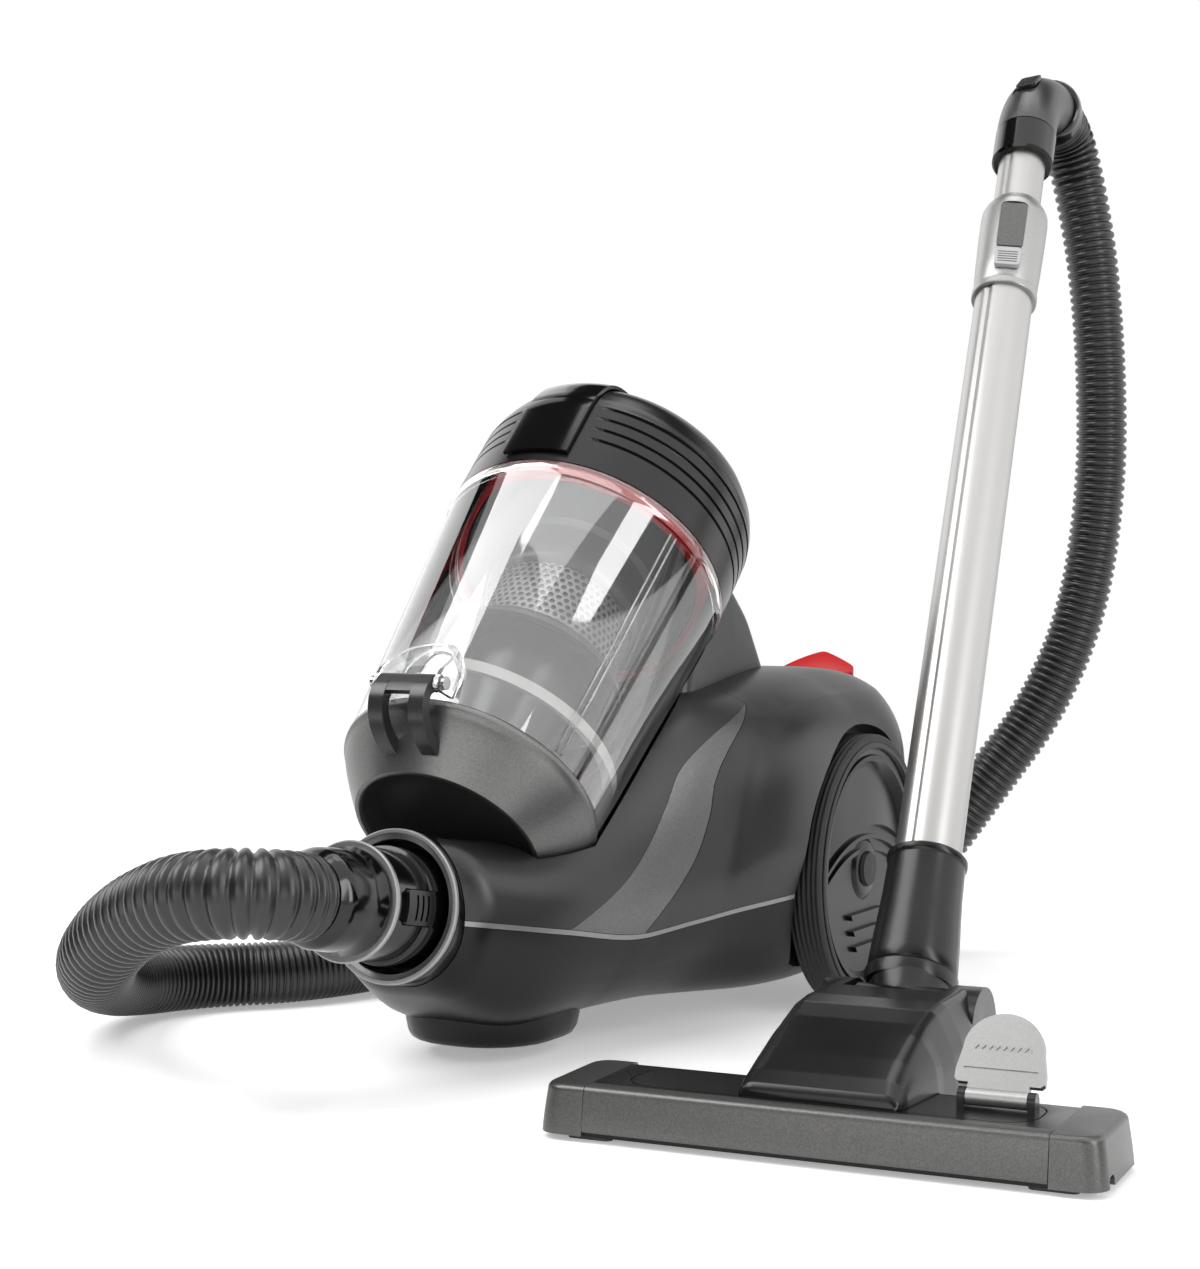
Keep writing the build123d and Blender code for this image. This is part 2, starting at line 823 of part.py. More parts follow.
# glossy front strip that runs on over the top as the carry handle
handle_half_width = 21.0
handle_drop = 8.0
strip_gap = 1.0  # cap form to strip form, closing to almost nothing on the shoulder
with BuildPart() as carry_handle:
    add(cap_solid(3, 6))
    add(cap_solid(strip_gap, 5), mode=Mode.SUBTRACT)
    with BuildSketch(cup_side.offset(-handle_half_width)):
        with BuildLine():
            Polyline((-110, 0), (70, 0), (70, 200), (-110, 200), close=True)
        make_face()
    extrude(amount=2 * handle_half_width, mode=Mode.INTERSECT)
    with BuildSketch(cup_side.offset(-handle_half_width + 5)):
        with BuildLine():
            Polyline(
                (scoop_y - scoop_radius, cap_top - handle_drop),
                (scoop_y + scoop_radius, cap_top - handle_drop),
                (scoop_y + scoop_radius, cap_top + 1),
                (scoop_y - scoop_radius, cap_top + 1),
                close=True,
            )
        make_face()
        with Locations((scoop_y, scoop_level)):
            Circle(scoop_radius - seat_gap, mode=Mode.INTERSECT)
    extrude(amount=2 * handle_half_width - 10)

# red ring held under the cap, inside the clear rim
red_ring = ring(cup_plane, cup_rim_radius - cup_wall_thickness - 0.8, cup_rim_radius - 8, -6.5, -seat_gap)

# perforated shroud with its skirt, hung from the cap
slot_rows = 4
slots_around = 20  # an even number
slot_width = 5.0
slot_height = 9.0
slot_pitch = 14.0
shroud_top = -1.0
shroud_foot = shroud_top - shroud_length
with BuildPart() as shroud:
    add(
        turned(
            cup_plane,
            [
                (shroud_radius - 2, shroud_top),
                (cup_rim_radius - 9, shroud_top),
                (cup_rim_radius - 9, shroud_top - 2),
                (shroud_radius, shroud_top - 3),
                (shroud_radius, shroud_foot),
                (shroud_radius + 11, shroud_foot - 14),
                (shroud_radius + 9, shroud_foot - 14.5),
                (shroud_radius - 2, shroud_foot - 2),
            ],
        )
    )
    slot_planes = []
    for row in range(slot_rows):
        for k in range(slots_around // 2):
            turn = (k + 0.5 * (row % 2)) * 360 / slots_around
            radial = cup_plane.x_dir.rotate(Axis((0, 0, 0), cup_plane.z_dir), turn)
            level = shroud_top - 14 - row * slot_pitch
            origin = cup_plane.origin + cup_plane.z_dir * level - radial * (shroud_radius + 3)
            slot_planes.append(Plane(origin=origin, x_dir=cup_plane.z_dir, z_dir=radial))
    with BuildSketch(*slot_planes):
        Rectangle(slot_height, slot_width)
    extrude(amount=2 * shroud_radius + 6, mode=Mode.SUBTRACT)

# inner cyclone cone under the shroud, hung inside it
with BuildPart() as cyclone_cone:
    add(
        turned(
            cup_plane,
            [
                (shroud_radius - 2 - seat_gap, shroud_foot + 14),
                (shroud_radius - 4 - seat_gap, shroud_foot + 14),
                (shroud_radius - 12, shroud_foot - 10),
                (22, -cup_length + 26),
                (24, -cup_length + 26),
                (shroud_radius - 10, shroud_foot - 10),
                (shroud_radius - 2 - seat_gap, shroud_foot + 8),
            ],
        )
    )

# pleated filter in the middle of the shroud
pleats = 18
filter_radius = 32.0
with BuildPart() as pleated_filter:
    with BuildSketch(cup_plane.offset(shroud_foot + 18)):
        with BuildLine():
            zigzag = [
                Vector(filter_radius - 5 * (k % 2), 0).rotate(Axis.Z, k * 180 / pleats) for k in range(2 * pleats)
            ]
            Polyline(*zigzag, close=True)
        make_face()
        Circle(18, mode=Mode.SUBTRACT)
    extrude(amount=shroud_length - 22)
    add(disc(cup_plane, filter_radius + 2, shroud_foot + 15, shroud_foot + 18))
    add(ring(cup_plane, shroud_radius + 6, 18, shroud_top + seat_gap, shroud_top + 4))
    add(ring(cup_plane, filter_radius + 2, 18, shroud_top - 4, shroud_top + seat_gap))

# pale band inside the foot of the clear cup
baffle_level = -cup_length + 24.0
baffle_radius = cup_foot_radius + (cup_rim_radius - cup_foot_radius) * 24.0 / cup_length - cup_wall_thickness
baffle_ring = turned(
    cup_plane,
    [
        (baffle_radius - 0.6, baffle_level),
        (baffle_radius + 0.1, baffle_level + 5),
        (baffle_radius - 7, baffle_level + 3),
        (baffle_radius - 7, baffle_level + 1.5),
    ],
)

# ---------------------------------------------------------------- running gear
wheel_inner_x = wheel_outer_x - wheel_width
hub_radius = 16.0

ridge_count = 2
ridge_pitch = 6.0
fin_count = 3
fin_pitch = 10.0
fin_length = 44.0


def wheel_plane(side):
    """Wheel axis plane; local z points outwards."""
    return Plane(
        origin=(canister_x, canister_y + wheel_y, wheel_radius), x_dir=(0, side, 0), z_dir=(side, 0, 0)
    )


def wheel(side):
    """Dished wheel: rim channel for the tyre, disc, hub, and fins in the lower half."""
    plane = wheel_plane(side)
    rim = wheel_radius - tyre_thickness
    with BuildPart() as piece:
        add(
            turned(
                plane,
                [
                    (wheel_pin_radius + running_gap, wheel_inner_x),
                    (hub_radius, wheel_inner_x),
                    (hub_radius, wheel_outer_x - 12),
                    (rim - 9, wheel_outer_x - 12),
                    (rim - 7, wheel_inner_x),
                    (rim, wheel_inner_x),
                    (rim, wheel_outer_x),
                    (rim - 4, wheel_outer_x + 0.5),
                    (rim - 8, wheel_outer_x - 3),
                    (rim - 12, wheel_outer_x - 2),
                    (rim - 15, wheel_outer_x - 7),
                    (hub_radius + 3, wheel_outer_x - 7),
                    (hub_radius, wheel_outer_x - 5),
                    (wheel_pin_radius + running_gap, wheel_outer_x - 5),
                ],
            )
        )
        # curved ridges under the domed panel and three fins in the lower half
        dish = wheel_outer_x - 7
        for step in range(ridge_count):
            fall = 5 + step * ridge_pitch
            reach = rim - 17
            with BuildSketch(plane.offset(dish - 1)):
                with BuildLine():
                    upper = ThreePointArc(
                        (-reach, dome_end_rise - fall), (0, dome_middle_rise - fall), (reach, dome_end_rise - fall)
                    )
                    lower = ThreePointArc(
                        (-reach, dome_end_rise - fall - 2.5),
                        (0, dome_middle_rise - fall - 2.5),
                        (reach, dome_end_rise - fall - 2.5),
                    )
                    Line(upper @ 0, lower @ 0)
                    Line(upper @ 1, lower @ 1)
                make_face()
                Circle(rim - 14, mode=Mode.INTERSECT)
            extrude(amount=3.5)
        with BuildSketch(plane.offset(dish - 1)):
            for fin in range(fin_count):
                with Locations((0, -hub_radius - fin_pitch * (fin + 1))):
                    Rectangle(fin_length, 3)
        extrude(amount=4)
    return piece.part


def tyre(side):
    """Soft tread stretched over the rim."""
    return turned(
        wheel_plane(side),
        [
            (wheel_radius - tyre_thickness, wheel_inner_x),
            (wheel_radius - 1.5, wheel_inner_x),
            (wheel_radius, wheel_inner_x + 2),
            (wheel_radius, wheel_outer_x - 3),
            (wheel_radius - 1.5, wheel_outer_x - 0.5),
            (wheel_radius - tyre_thickness, wheel_outer_x - 0.5),
        ],
    )


dome_sagitta = 6.0
dome_end_rise = 6.0  # lower edge of the domed panel above the wheel's centre
dome_middle_rise = 27.0


def wheel_dome(side):
    """Domed trim panel that fills the upper part of the wheel's dish."""
    plane = wheel_plane(side)
    edge = wheel_radius - tyre_thickness - 17
    seat = wheel_outer_x - 7
    sphere_radius = (edge**2 + dome_sagitta**2) / (2 * dome_sagitta)
    with BuildPart() as piece:
        with BuildSketch(half_section(plane)):
            with BuildLine():
                rise = RadiusArc((0, seat + dome_sagitta), (edge, seat + 0.5), sphere_radius)
                Polyline(rise @ 1, (edge, seat), (0, seat), rise @ 0)
            make_face()
        revolve(axis=axis_of(plane))
        with BuildSketch(plane.offset(seat)):
            with BuildLine():
                lid = ThreePointArc((-edge - 6, dome_end_rise), (0, dome_middle_rise), (edge + 6, dome_end_rise))
                Polyline(lid @ 1, (edge + 6, -2 * edge), (-edge - 6, -2 * edge), lid @ 0)
            make_face()
        extrude(amount=30, mode=Mode.SUBTRACT)
    return piece.part


def stub_axle(side):
    """Steel pin, headed outside, pressed into the chassis boss."""
    plane = wheel_plane(side)
    return turned(
        plane,
        [
            (0, pin_inner_x),
            (wheel_pin_radius, pin_inner_x),
            (wheel_pin_radius, wheel_outer_x - 5 + seat_gap),
            (wheel_pin_radius + 4, wheel_outer_x - 5 + seat_gap),
            (wheel_pin_radius + 3, wheel_outer_x - 2.5),
            (0, wheel_outer_x - 2),
        ],
    )


# caster: forked swivel with a small wheel on a pin
fork_cheek = 2.5
fork_top = 2 * caster_wheel_radius + 2.5
caster_top = Plane(origin=(canister_x, canister_y + caster_y, 0))
caster_axle_y = caster_trail
with BuildPart() as caster_fork:
    for side in (-1, 1):
        inner = caster_wheel_width / 2 + seat_gap
        with BuildSketch(Plane(origin=caster_top.origin + Vector(side * inner, 0, 0), x_dir=(0, 1, 0), z_dir=(1, 0, 0))):
            with BuildLine():
                Polyline((-9, fork_top), (caster_trail + 8, fork_top), (caster_trail + 5, 8), (caster_trail - 4, 8), close=True)
            make_face()
            fillet(vertices().sort_by(Axis.Z)[:2], 2.5)
            with Locations((caster_trail, caster_wheel_radius)):
                Circle(caster_pin_radius, mode=Mode.SUBTRACT)
        extrude(amount=side * fork_cheek)
    with BuildSketch(caster_top.offset(fork_top)):
        Circle(caster_wheel_radius + caster_trail + 1)
    extrude(amount=3)
    with BuildSketch(caster_top.offset(fork_top + 3)):
        Circle(caster_stem_radius)
    extrude(amount=caster_stem_length)

caster_axle_plane = Plane(
    origin=caster_top.origin + Vector(0, caster_trail, caster_wheel_radius), x_dir=(0, 1, 0), z_dir=(1, 0, 0)
)
caster_wheel = turned(
    caster_axle_plane,
    [
        (caster_pin_radius + running_gap, -caster_wheel_width / 2),
        (caster_wheel_radius - 2, -caster_wheel_width / 2),
        (caster_wheel_radius, 2 - caster_wheel_width / 2),
        (caster_wheel_radius, caster_wheel_width / 2 - 2),
        (caster_wheel_radius - 2, caster_wheel_width / 2),
        (caster_pin_radius + running_gap, caster_wheel_width / 2),
    ],
)
caster_pin = disc(
    caster_axle_plane,
    caster_pin_radius,
    -caster_wheel_width / 2 - seat_gap - fork_cheek,
    caster_wheel_width / 2 + seat_gap + fork_cheek,
)
wheel_right = wheel(1)
wheel_left = wheel(-1)
tyre_right = tyre(1)
tyre_left = tyre(-1)
with BuildPart() as stub_axles:
    add(stub_axle(1))
    add(stub_axle(-1))

# ---------------------------------------------------------------- hose inlet
collar_wall = 6.0
ring_width = 3.0
connector_wall = 3.0
latch_reach = 12.0
latch_travel = 1.5
connector_front = connector_length
cuff_front = connector_front + cuff_length

collar_back = -30.0
collar_seat = -14.0  # front of the socket that holds the connector
inlet_collar = turned(
    inlet_plane,
    [
        (connector_radius + seat_gap, collar_back),
        (collar_radius, collar_back),
        (collar_radius, -ring_width - seat_gap),
        (collar_radius - collar_wall, -ring_width - seat_gap),
        (collar_radius - collar_wall, collar_seat),
        (connector_radius + seat_gap, collar_seat),
    ],
)
collar_ring = ring(inlet_plane, collar_radius, collar_radius - collar_wall, -ring_width, 0)

# connector: the hose's rigid end, plugged into the collar, with its latch in a slot
latch_half_width = 9.0
connector_side = Plane(origin=inlet_plane.origin, x_dir=inlet_plane.z_dir, z_dir=inlet_plane.x_dir)  # along, then up
with BuildPart() as hose_connector:
    add(
        turned(
            inlet_plane,
            [
                (connector_radius - connector_wall, -28),
                (connector_radius, -28),
                (connector_radius, 8),
                (connector_radius - 2, 10),
                (connector_radius - 2, connector_front - ring_width),
                (connector_radius, connector_front - ring_width),
                (connector_radius, connector_front),
                (connector_radius - connector_wall - 2, connector_front),
                (connector_radius - connector_wall - 2, 0),
            ],
        )
    )
    with BuildSketch(connector_side.offset(connector_radius - 12)):
        with Locations((latch_reach + 6, 0)):
            Rectangle(2 * latch_reach + 1, 2 * latch_half_width + 1)
    extrude(amount=30, mode=Mode.SUBTRACT)
with BuildPart() as connector_latch:
    with BuildSketch(connector_side.offset(connector_radius - 10)):
        with Locations((latch_reach + 6, 0)):
            Rectangle(2 * latch_reach, 2 * latch_half_width)
    extrude(amount=9)
    add(disc(inlet_plane, connector_radius + 0.6, -40, 60), mode=Mode.INTERSECT)
    with BuildSketch(connector_side.offset(connector_radius - 1.5)):
        for k in range(3):
            with Locations((latch_reach - 2 + 6 * k, 0)):
                Rectangle(2, 2 * latch_half_width - 4)
    extrude(amount=5, mode=Mode.SUBTRACT)

with BuildPart() as inlet_cuff:
    add(
        turned(
            inlet_plane,
            [
                (connector_radius - connector_wall - 6, connector_front - 8),
                (connector_radius - connector_wall - 2.1, connector_front - 8),
                (connector_radius - connector_wall - 2.1, connector_front + seat_gap),
                (cuff_radius + 1.5, connector_front + seat_gap),
                (cuff_radius, connector_front + 12),
                (cuff_radius - 1, cuff_front - 6),
                (hose_diameter / 2 + 2, cuff_front),
                (hose_diameter / 2 - 4, cuff_front),
                (hose_diameter / 2 - 4, connector_front + 4),
            ],
        )
    )

# ---------------------------------------------------------------- wand
wand_front = Plane(
    origin=wand_plane.origin, x_dir=wand_plane.z_dir, z_dir=wand_plane.z_dir.cross(wand_plane.x_dir) * -1
)  # local x runs up the wand, local z out of its front

outer_tube = ring(wand_plane, tube_radius, tube_radius - tube_wall, tube_foot, collar_foot + 20)
inner_tube = ring(
    wand_plane,
    inner_tube_radius,
    inner_tube_radius - inner_tube_wall,
    collar_foot - inner_tube_hidden,
    handle_foot + 22,
)

# collar: plastic guide with a flat window and a spring button in front
collar_radius_low = 19.7
collar_radius_high = 20.6
window_foot = 362.0
window_top = 402.0
window_width = 17.0
button_foot = 347.0
button_travel = 3.0
with BuildPart() as wand_collar:
    add(
        turned(
            wand_plane,
            [
                (tube_radius + 0.05, collar_foot),
                (collar_radius_low, collar_foot),
                (collar_radius_low, collar_foot + 5),
                (collar_radius_low - 0.5, collar_foot + 5.5),
                (collar_radius_high, collar_top - 12),
                (collar_radius_high - 1.5, collar_top - 6),
                (inner_tube_radius + 1.5, collar_top),
                (inner_tube_radius + running_gap, collar_top),
                (inner_tube_radius + running_gap, collar_foot + 20.3),
                (tube_radius + 0.05, collar_foot + 20.3),
            ],
        )
    )
    # recess that the button slides in
    with BuildSketch(wand_front.offset(tube_radius + 0.9)):
        with Locations(((button_foot + window_top) / 2, 0)):
            RectangleRounded(window_top - button_foot, window_width, 3)
    extrude(amount=10, mode=Mode.SUBTRACT)
with BuildPart() as collar_button:
    length = window_foot - button_foot - 1
    with BuildSketch(wand_front.offset(tube_radius + 1.2)):
        with Locations((button_foot + 1 + length / 2, 0)):
            RectangleRounded(length, window_width - 1, 2.4)
    extrude(amount=3.6)
    with BuildSketch(wand_front.offset(tube_radius + 4)):
        for k in range(5):
            with Locations((button_foot + 3.4 + 2.4 * k, 0)):
                Rectangle(1.0, window_width - 6)
    extrude(amount=3, mode=Mode.SUBTRACT)
# neck: sleeve on the tube, then the elbow that turns in it
neck_sleeve = turned(
    wand_plane,
    [
        (tube_radius + 0.05, neck_foot + 46),
        (tube_radius + 0.05, neck_top - 2),
        (neck_radius - 0.6, neck_top),
        (neck_radius, neck_top - 1),
        (neck_radius, neck_top - 4),
        (neck_radius - 0.9, neck_top - 5),
        (neck_radius - 0.3, neck_foot + 40),
        (elbow_radius - 1.0, neck_foot + 6),
        (elbow_radius - 1.0, neck_foot + 1),
        (elbow_radius - 5, neck_foot + 1),
        (elbow_radius - 6, neck_foot + 26),
    ],
)

# ---------------------------------------------------------------- floor head
pivot_plane = Plane(
    origin=head_plane.origin + head_plane.y_dir * pivot_depth + Vector(0, 0, pivot_height),
    x_dir=head_plane.y_dir,
    z_dir=head_plane.x_dir,
)  # pitch axis as local z
pivot_length = 51.0
pivot_pin_radius = 4.0
elbow_tube = 19.0
elbow_top = wand_plane.origin + wand_plane.z_dir * (neck_foot + 1 - seat_gap)
elbow_reach = elbow_top - pivot_plane.origin
with BuildPart() as neck_elbow:
    with BuildSketch(pivot_plane.offset(-pivot_length / 2)):
        Circle(pivot_radius)
    extrude(amount=pivot_length)
    with BuildSketch(Plane(origin=elbow_top, x_dir=wand_plane.x_dir, z_dir=wand_plane.z_dir).offset(-9)):
        Circle(elbow_radius)
    extrude(amount=9)
    with BuildSketch(Plane(origin=elbow_top, x_dir=wand_plane.x_dir, z_dir=wand_plane.z_dir).offset(-8)):
        Circle(elbow_radius - 1.5)
    with BuildSketch(Plane(origin=pivot_plane.origin + elbow_reach * 0.3, z_dir=elbow_reach)):
        Circle(pivot_radius - 2)
    loft()
    with BuildSketch(Plane(origin=elbow_top, x_dir=wand_plane.x_dir, z_dir=wand_plane.z_dir)):
        Circle(elbow_radius - 6 - running_gap)
    extrude(amount=20)
    with BuildSketch(Plane(origin=elbow_top, x_dir=wand_plane.x_dir, z_dir=wand_plane.z_dir)):
        Circle(elbow_radius - 9)
    extrude(amount=30, both=True, mode=Mode.SUBTRACT)
    # airway through the pivot barrel to its front
    with BuildSketch(pivot_plane.offset(12 - pivot_length / 2)):
        Circle(pivot_radius - 5)
    extrude(amount=pivot_length - 24, mode=Mode.SUBTRACT)
    with BuildSketch(Plane(origin=pivot_plane.origin, z_dir=-head_plane.y_dir)):
        Circle(10)
    extrude(amount=pivot_radius + 5, mode=Mode.SUBTRACT)
    with BuildSketch(pivot_plane.offset(-pivot_length)):
        Circle(pivot_pin_radius)
    extrude(amount=2 * pivot_length, mode=Mode.SUBTRACT)

# ---------------------------------------------------------------- wand handle
handle_radius = 19.0
handle_bore = 15.0
cuff_top = 478.0
elbow_start = 480.0
elbow_bend = 60.0
grip_axis = Vector(0, 0.98, -0.2).normalized()
swivel_radius = 21.5
swivel_length = 9.0
hose_cuff_length = 7.0
elbow_turn = wand_plane.z_dir.get_angle(grip_axis)
elbow_tangent = elbow_bend * tan(radians(elbow_turn) / 2)
elbow_corner = wand_plane.origin + wand_plane.z_dir * (elbow_start + elbow_tangent)
grip_end = elbow_corner + grip_axis * (elbow_tangent + 0.7)
elbow_side = wand_plane.z_dir.cross(grip_axis).normalized()  # square to the plane of the bend
grip_plane = Plane(origin=grip_end, x_dir=elbow_side, z_dir=grip_axis)
hose_end = grip_end + grip_axis * hose_cuff_length

# cuff band pressed on the inner tube
handle_cuff = turned(
    wand_plane,
    [
        (inner_tube_radius, handle_foot),
        (handle_radius - 0.8, handle_foot),
        (handle_radius + 0.4, handle_foot + 2),
        (handle_radius + 0.4, cuff_top - 1),
        (handle_radius - 0.6, cuff_top),
        (handle_bore, cuff_top),
        (inner_tube_radius - 1, handle_foot + 22 + seat_gap),
        (inner_tube_radius, handle_foot + 22 + seat_gap),
    ],
)

# bent grip, moulded in two halves; the slider runs in a flat recess on the outside of the bend
slider_turn = 28.0
slider_length = 20.0
slider_width = 14.0
slider_travel = 8.0
slider_floor = 16.9
bend_centre = (
    wand_plane.origin
    + wand_plane.z_dir * elbow_start
    + elbow_side.cross(wand_plane.z_dir).normalized() * elbow_bend
)
slider_out = (elbow_corner * 0 - elbow_side.cross(wand_plane.z_dir).normalized()).rotate(
    Axis((0, 0, 0), elbow_side), slider_turn
)
slider_plane = Plane(
    origin=bend_centre + slider_out * (elbow_bend + slider_floor), x_dir=elbow_side.cross(slider_out) * -1, z_dir=slider_out
)
with BuildPart() as grip:
    with BuildLine() as grip_path:
        FilletPolyline(
            wand_plane.origin + wand_plane.z_dir * cuff_top, elbow_corner, grip_end, radius=elbow_bend
        )
    with BuildSketch(Plane(origin=wand_plane.origin + wand_plane.z_dir * cuff_top, z_dir=wand_plane.z_dir)):
        Circle(handle_radius)
        Circle(handle_bore, mode=Mode.SUBTRACT)
    sweep(path=grip_path.line)
    with BuildSketch(slider_plane):
        RectangleRounded(slider_length + slider_travel + 4, slider_width + 2, 4)
    extrude(amount=10, mode=Mode.SUBTRACT)
    with BuildSketch(grip_plane.offset(-swivel_length)):
        Circle(handle_radius + 4)
        Circle(handle_radius - 1.5, mode=Mode.SUBTRACT)
    extrude(amount=swivel_length + 1, mode=Mode.SUBTRACT)
parting = Plane(origin=elbow_corner, x_dir=wand_plane.z_dir, z_dir=elbow_side)
with BuildPart() as grip_right:
    add(grip.part)
    split(bisect_by=parting, keep=Keep.TOP)
with BuildPart() as grip_left:
    add(grip.part)
    split(bisect_by=parting, keep=Keep.BOTTOM)
with BuildPart() as suction_slider:
    with BuildSketch(slider_plane.offset(running_gap)):
        with Locations((-slider_travel / 2, 0)):
            RectangleRounded(slider_length, slider_width, 3)
    extrude(amount=2.6)
    with BuildSketch(slider_plane.offset(1.6)):
        for k in range(5):
            with Locations((-slider_travel / 2 + 3.4 * (k - 2), 0)):
                Rectangle(1.4, slider_width + 2)
    extrude(amount=3, mode=Mode.SUBTRACT)
# swivel: ring round the end of the grip with the hose's cuff
hose_swivel = turned(
    grip_plane,
    [
        (handle_radius - 1.5, seat_gap - swivel_length),
        (swivel_radius, seat_gap - swivel_length),
        (swivel_radius, -1),
        (handle_radius + 1.2, 1),
        (hose_diameter / 2 + 0.6, hose_cuff_length),
        (handle_bore, hose_cuff_length),
        (handle_bore, seat_gap),
        (handle_radius - 1.5, seat_gap),
    ],
)

# ---------------------------------------------------------------- hose
# corner points of the route from the inlet cuff to the handle cuff
hose_start = inlet_plane.origin + inlet_plane.z_dir * cuff_front
hose_corners = [
    (0, -268, 108.2),
    (-12, -283, 110),
    (-31, -288, 109),
    (-62, -280, 103),
    (-108, -259, 86),
    (-156, -226, 60),
    (-202, -172, 38),
    (-232, -112, 22),
    (-222, -60, 19.5),
    (-178, -20, 19.5),
    (-158, 40, 19.5),
    (-154, 112, 20),
    (-156, 200, 19.5),
    (-135, 282, 19.5),
    (-70, 320, 19.5),
    (20, 330, 22),
    (92, 346, 62),
    (132, 360, 122),
    (166, 374, 172),
    (192, 383, 238),
    (203, 388, 325),
    (203, 386, 405),
    (197, 385, 478),
    (189.5, 383, 522),
    (185, 379, 547),
    (182.6, 372, 560),
]
hose_points = [hose_start] + [Vector(x + canister_x, y + canister_y, z) for x, y, z in hose_corners] + [
    hose_end + grip_axis * 13,
    hose_end,
]


def bend_radii(points):
    """Radius at each corner: the arc uses up to 0.45 of the shorter run beside it."""
    radii = []
    for before, corner, after in zip(points, points[1:], points[2:]):
        arriving = corner - before
        leaving = after - corner
        half_turn = radians(arriving.get_angle(leaving)) / 2
        radii.append(0.45 * min(arriving.length, leaving.length) / tan(half_turn))
    return radii


hose_radii = bend_radii(hose_points)
print("hose bend radii", [round(radius) for radius in hose_radii])
with BuildPart() as stretch_hose:
    with BuildLine() as hose_path:
        FilletPolyline(*hose_points, radius=hose_radii)
    with BuildSketch(Plane(origin=hose_path.line @ 0, z_dir=hose_path.line % 0)):
        Circle(hose_diameter / 2)
        Circle(hose_diameter / 2 - hose_wall, mode=Mode.SUBTRACT)
    sweep(path=hose_path.line)
hose_length = sum(edge.length for edge in hose_path.edges())
hose_section = pi * ((hose_diameter / 2) ** 2 - (hose_diameter / 2 - hose_wall) ** 2)
print("hose length", round(hose_length), "volume", round(stretch_hose.part.volume), round(hose_length * hose_section))

# ---------------------------------------------------------------- floor head
# local x along the head, y to the rear, z up, from the middle of the front bottom edge
half_length = head_length / 2
bumper_setback = 2.6
bumper_depth = 12.0
bumper_foot = 5.0
end_cap_width = 24.0
base_height = 9.0
mouth_width = 226.0
mouth_depth = 13.0
mouth_y = 27.0
brush_y = 43.5
brush_depth = 6.0
brush_travel = 5.0
tuft_count = 16
roller_radius = 7.0
roller_width = 14.0
roller_pin_radius = 1.5
roller_x = 52.0
roller_y = head_depth - 11.0
plate_low = head_height - 4
plate_thickness = 3.0
hump_front = 17.0
hump_front_half = 38.0
hump_half_width = 46.0
hump_top = 60.0
hump_crest = 95.0
cheek_radius = 22.0
pedal_x = 76.0
pedal_y = 42.0
pedal_lean = 30.0
pedal_width = 40.0
pedal_height = 45.0
pedal_barrel_radius = 4.0
pedal_pin_radius = 1.5
pedal_tongue = 28.0
pedal_level = plate_low + plate_thickness + pedal_barrel_radius + 1
head_side = Plane(origin=head_plane.origin, x_dir=head_plane.y_dir, z_dir=head_plane.x_dir)  # rearwards, up


def head_block(x_low, x_high, outline):
    """Prism between two stations along the head, from a side outline of (rearwards, up) points."""
    with BuildPart() as block:
        with BuildSketch(head_side.offset(x_low)):
            with BuildLine():
                Polyline(*outline, close=True)
            make_face()
        extrude(amount=x_high - x_low)
    return block.part


def head_rod(radius, x_low, x_high, rearwards, up):
    """Cylinder along the head."""
    with BuildPart() as rod:
        with BuildSketch(head_side.offset(x_low)):
            with Locations((rearwards, up)):
                Circle(radius)
        extrude(amount=x_high - x_low)
    return rod.part


# sole: tray with the suction mouth, the brush slot and the roller bays
with BuildPart() as head_sole:
    with BuildSketch(head_plane.offset(head_floor_gap)):
        with Locations((0, head_depth / 2 + 1)):
            RectangleRounded(head_length - 10, head_depth - 8, 8)
    extrude(amount=base_height)
    with BuildSketch(head_plane.offset(head_floor_gap - 1)):
        with Locations((0, mouth_y)):
            Rectangle(mouth_width, mouth_depth)
        with Locations((0, brush_y)):
            Rectangle(mouth_width - 2 * end_cap_width, brush_depth + 1)
        with Locations((-roller_x, roller_y), (roller_x, roller_y)):
            Rectangle(roller_width + 2, 2 * roller_radius + 2)
    extrude(amount=base_height + 2, mode=Mode.SUBTRACT)
    for side in (-1, 1):
        with BuildSketch(head_side.offset(side * (roller_x - roller_width))):
            with Locations((roller_y, roller_radius)):
                Circle(roller_pin_radius + running_gap)
        extrude(amount=side * 2 * roller_width, mode=Mode.SUBTRACT)

# felt pads that carry the front of the sole
with BuildPart() as glide_pads:
    with BuildSketch(head_plane):
        with Locations((-half_length + 24, 12), (half_length - 24, 12)):
            RectangleRounded(22, 9, 3)
    extrude(amount=head_floor_gap)

bumper = head_block(
    end_cap_width - half_length + seat_gap,
    half_length - end_cap_width - seat_gap,
    [
        (0, bumper_foot),
        (0, bumper_foot + 4),
        (bumper_setback, head_height - 2),
        (bumper_setback + 3, head_height),
        (bumper_depth, head_height),
        (bumper_depth, head_height - 2.5),
        (bumper_setback + 4, head_height - 3.5),
        (4, bumper_foot + 8),
        (4, bumper_foot),
    ],
)


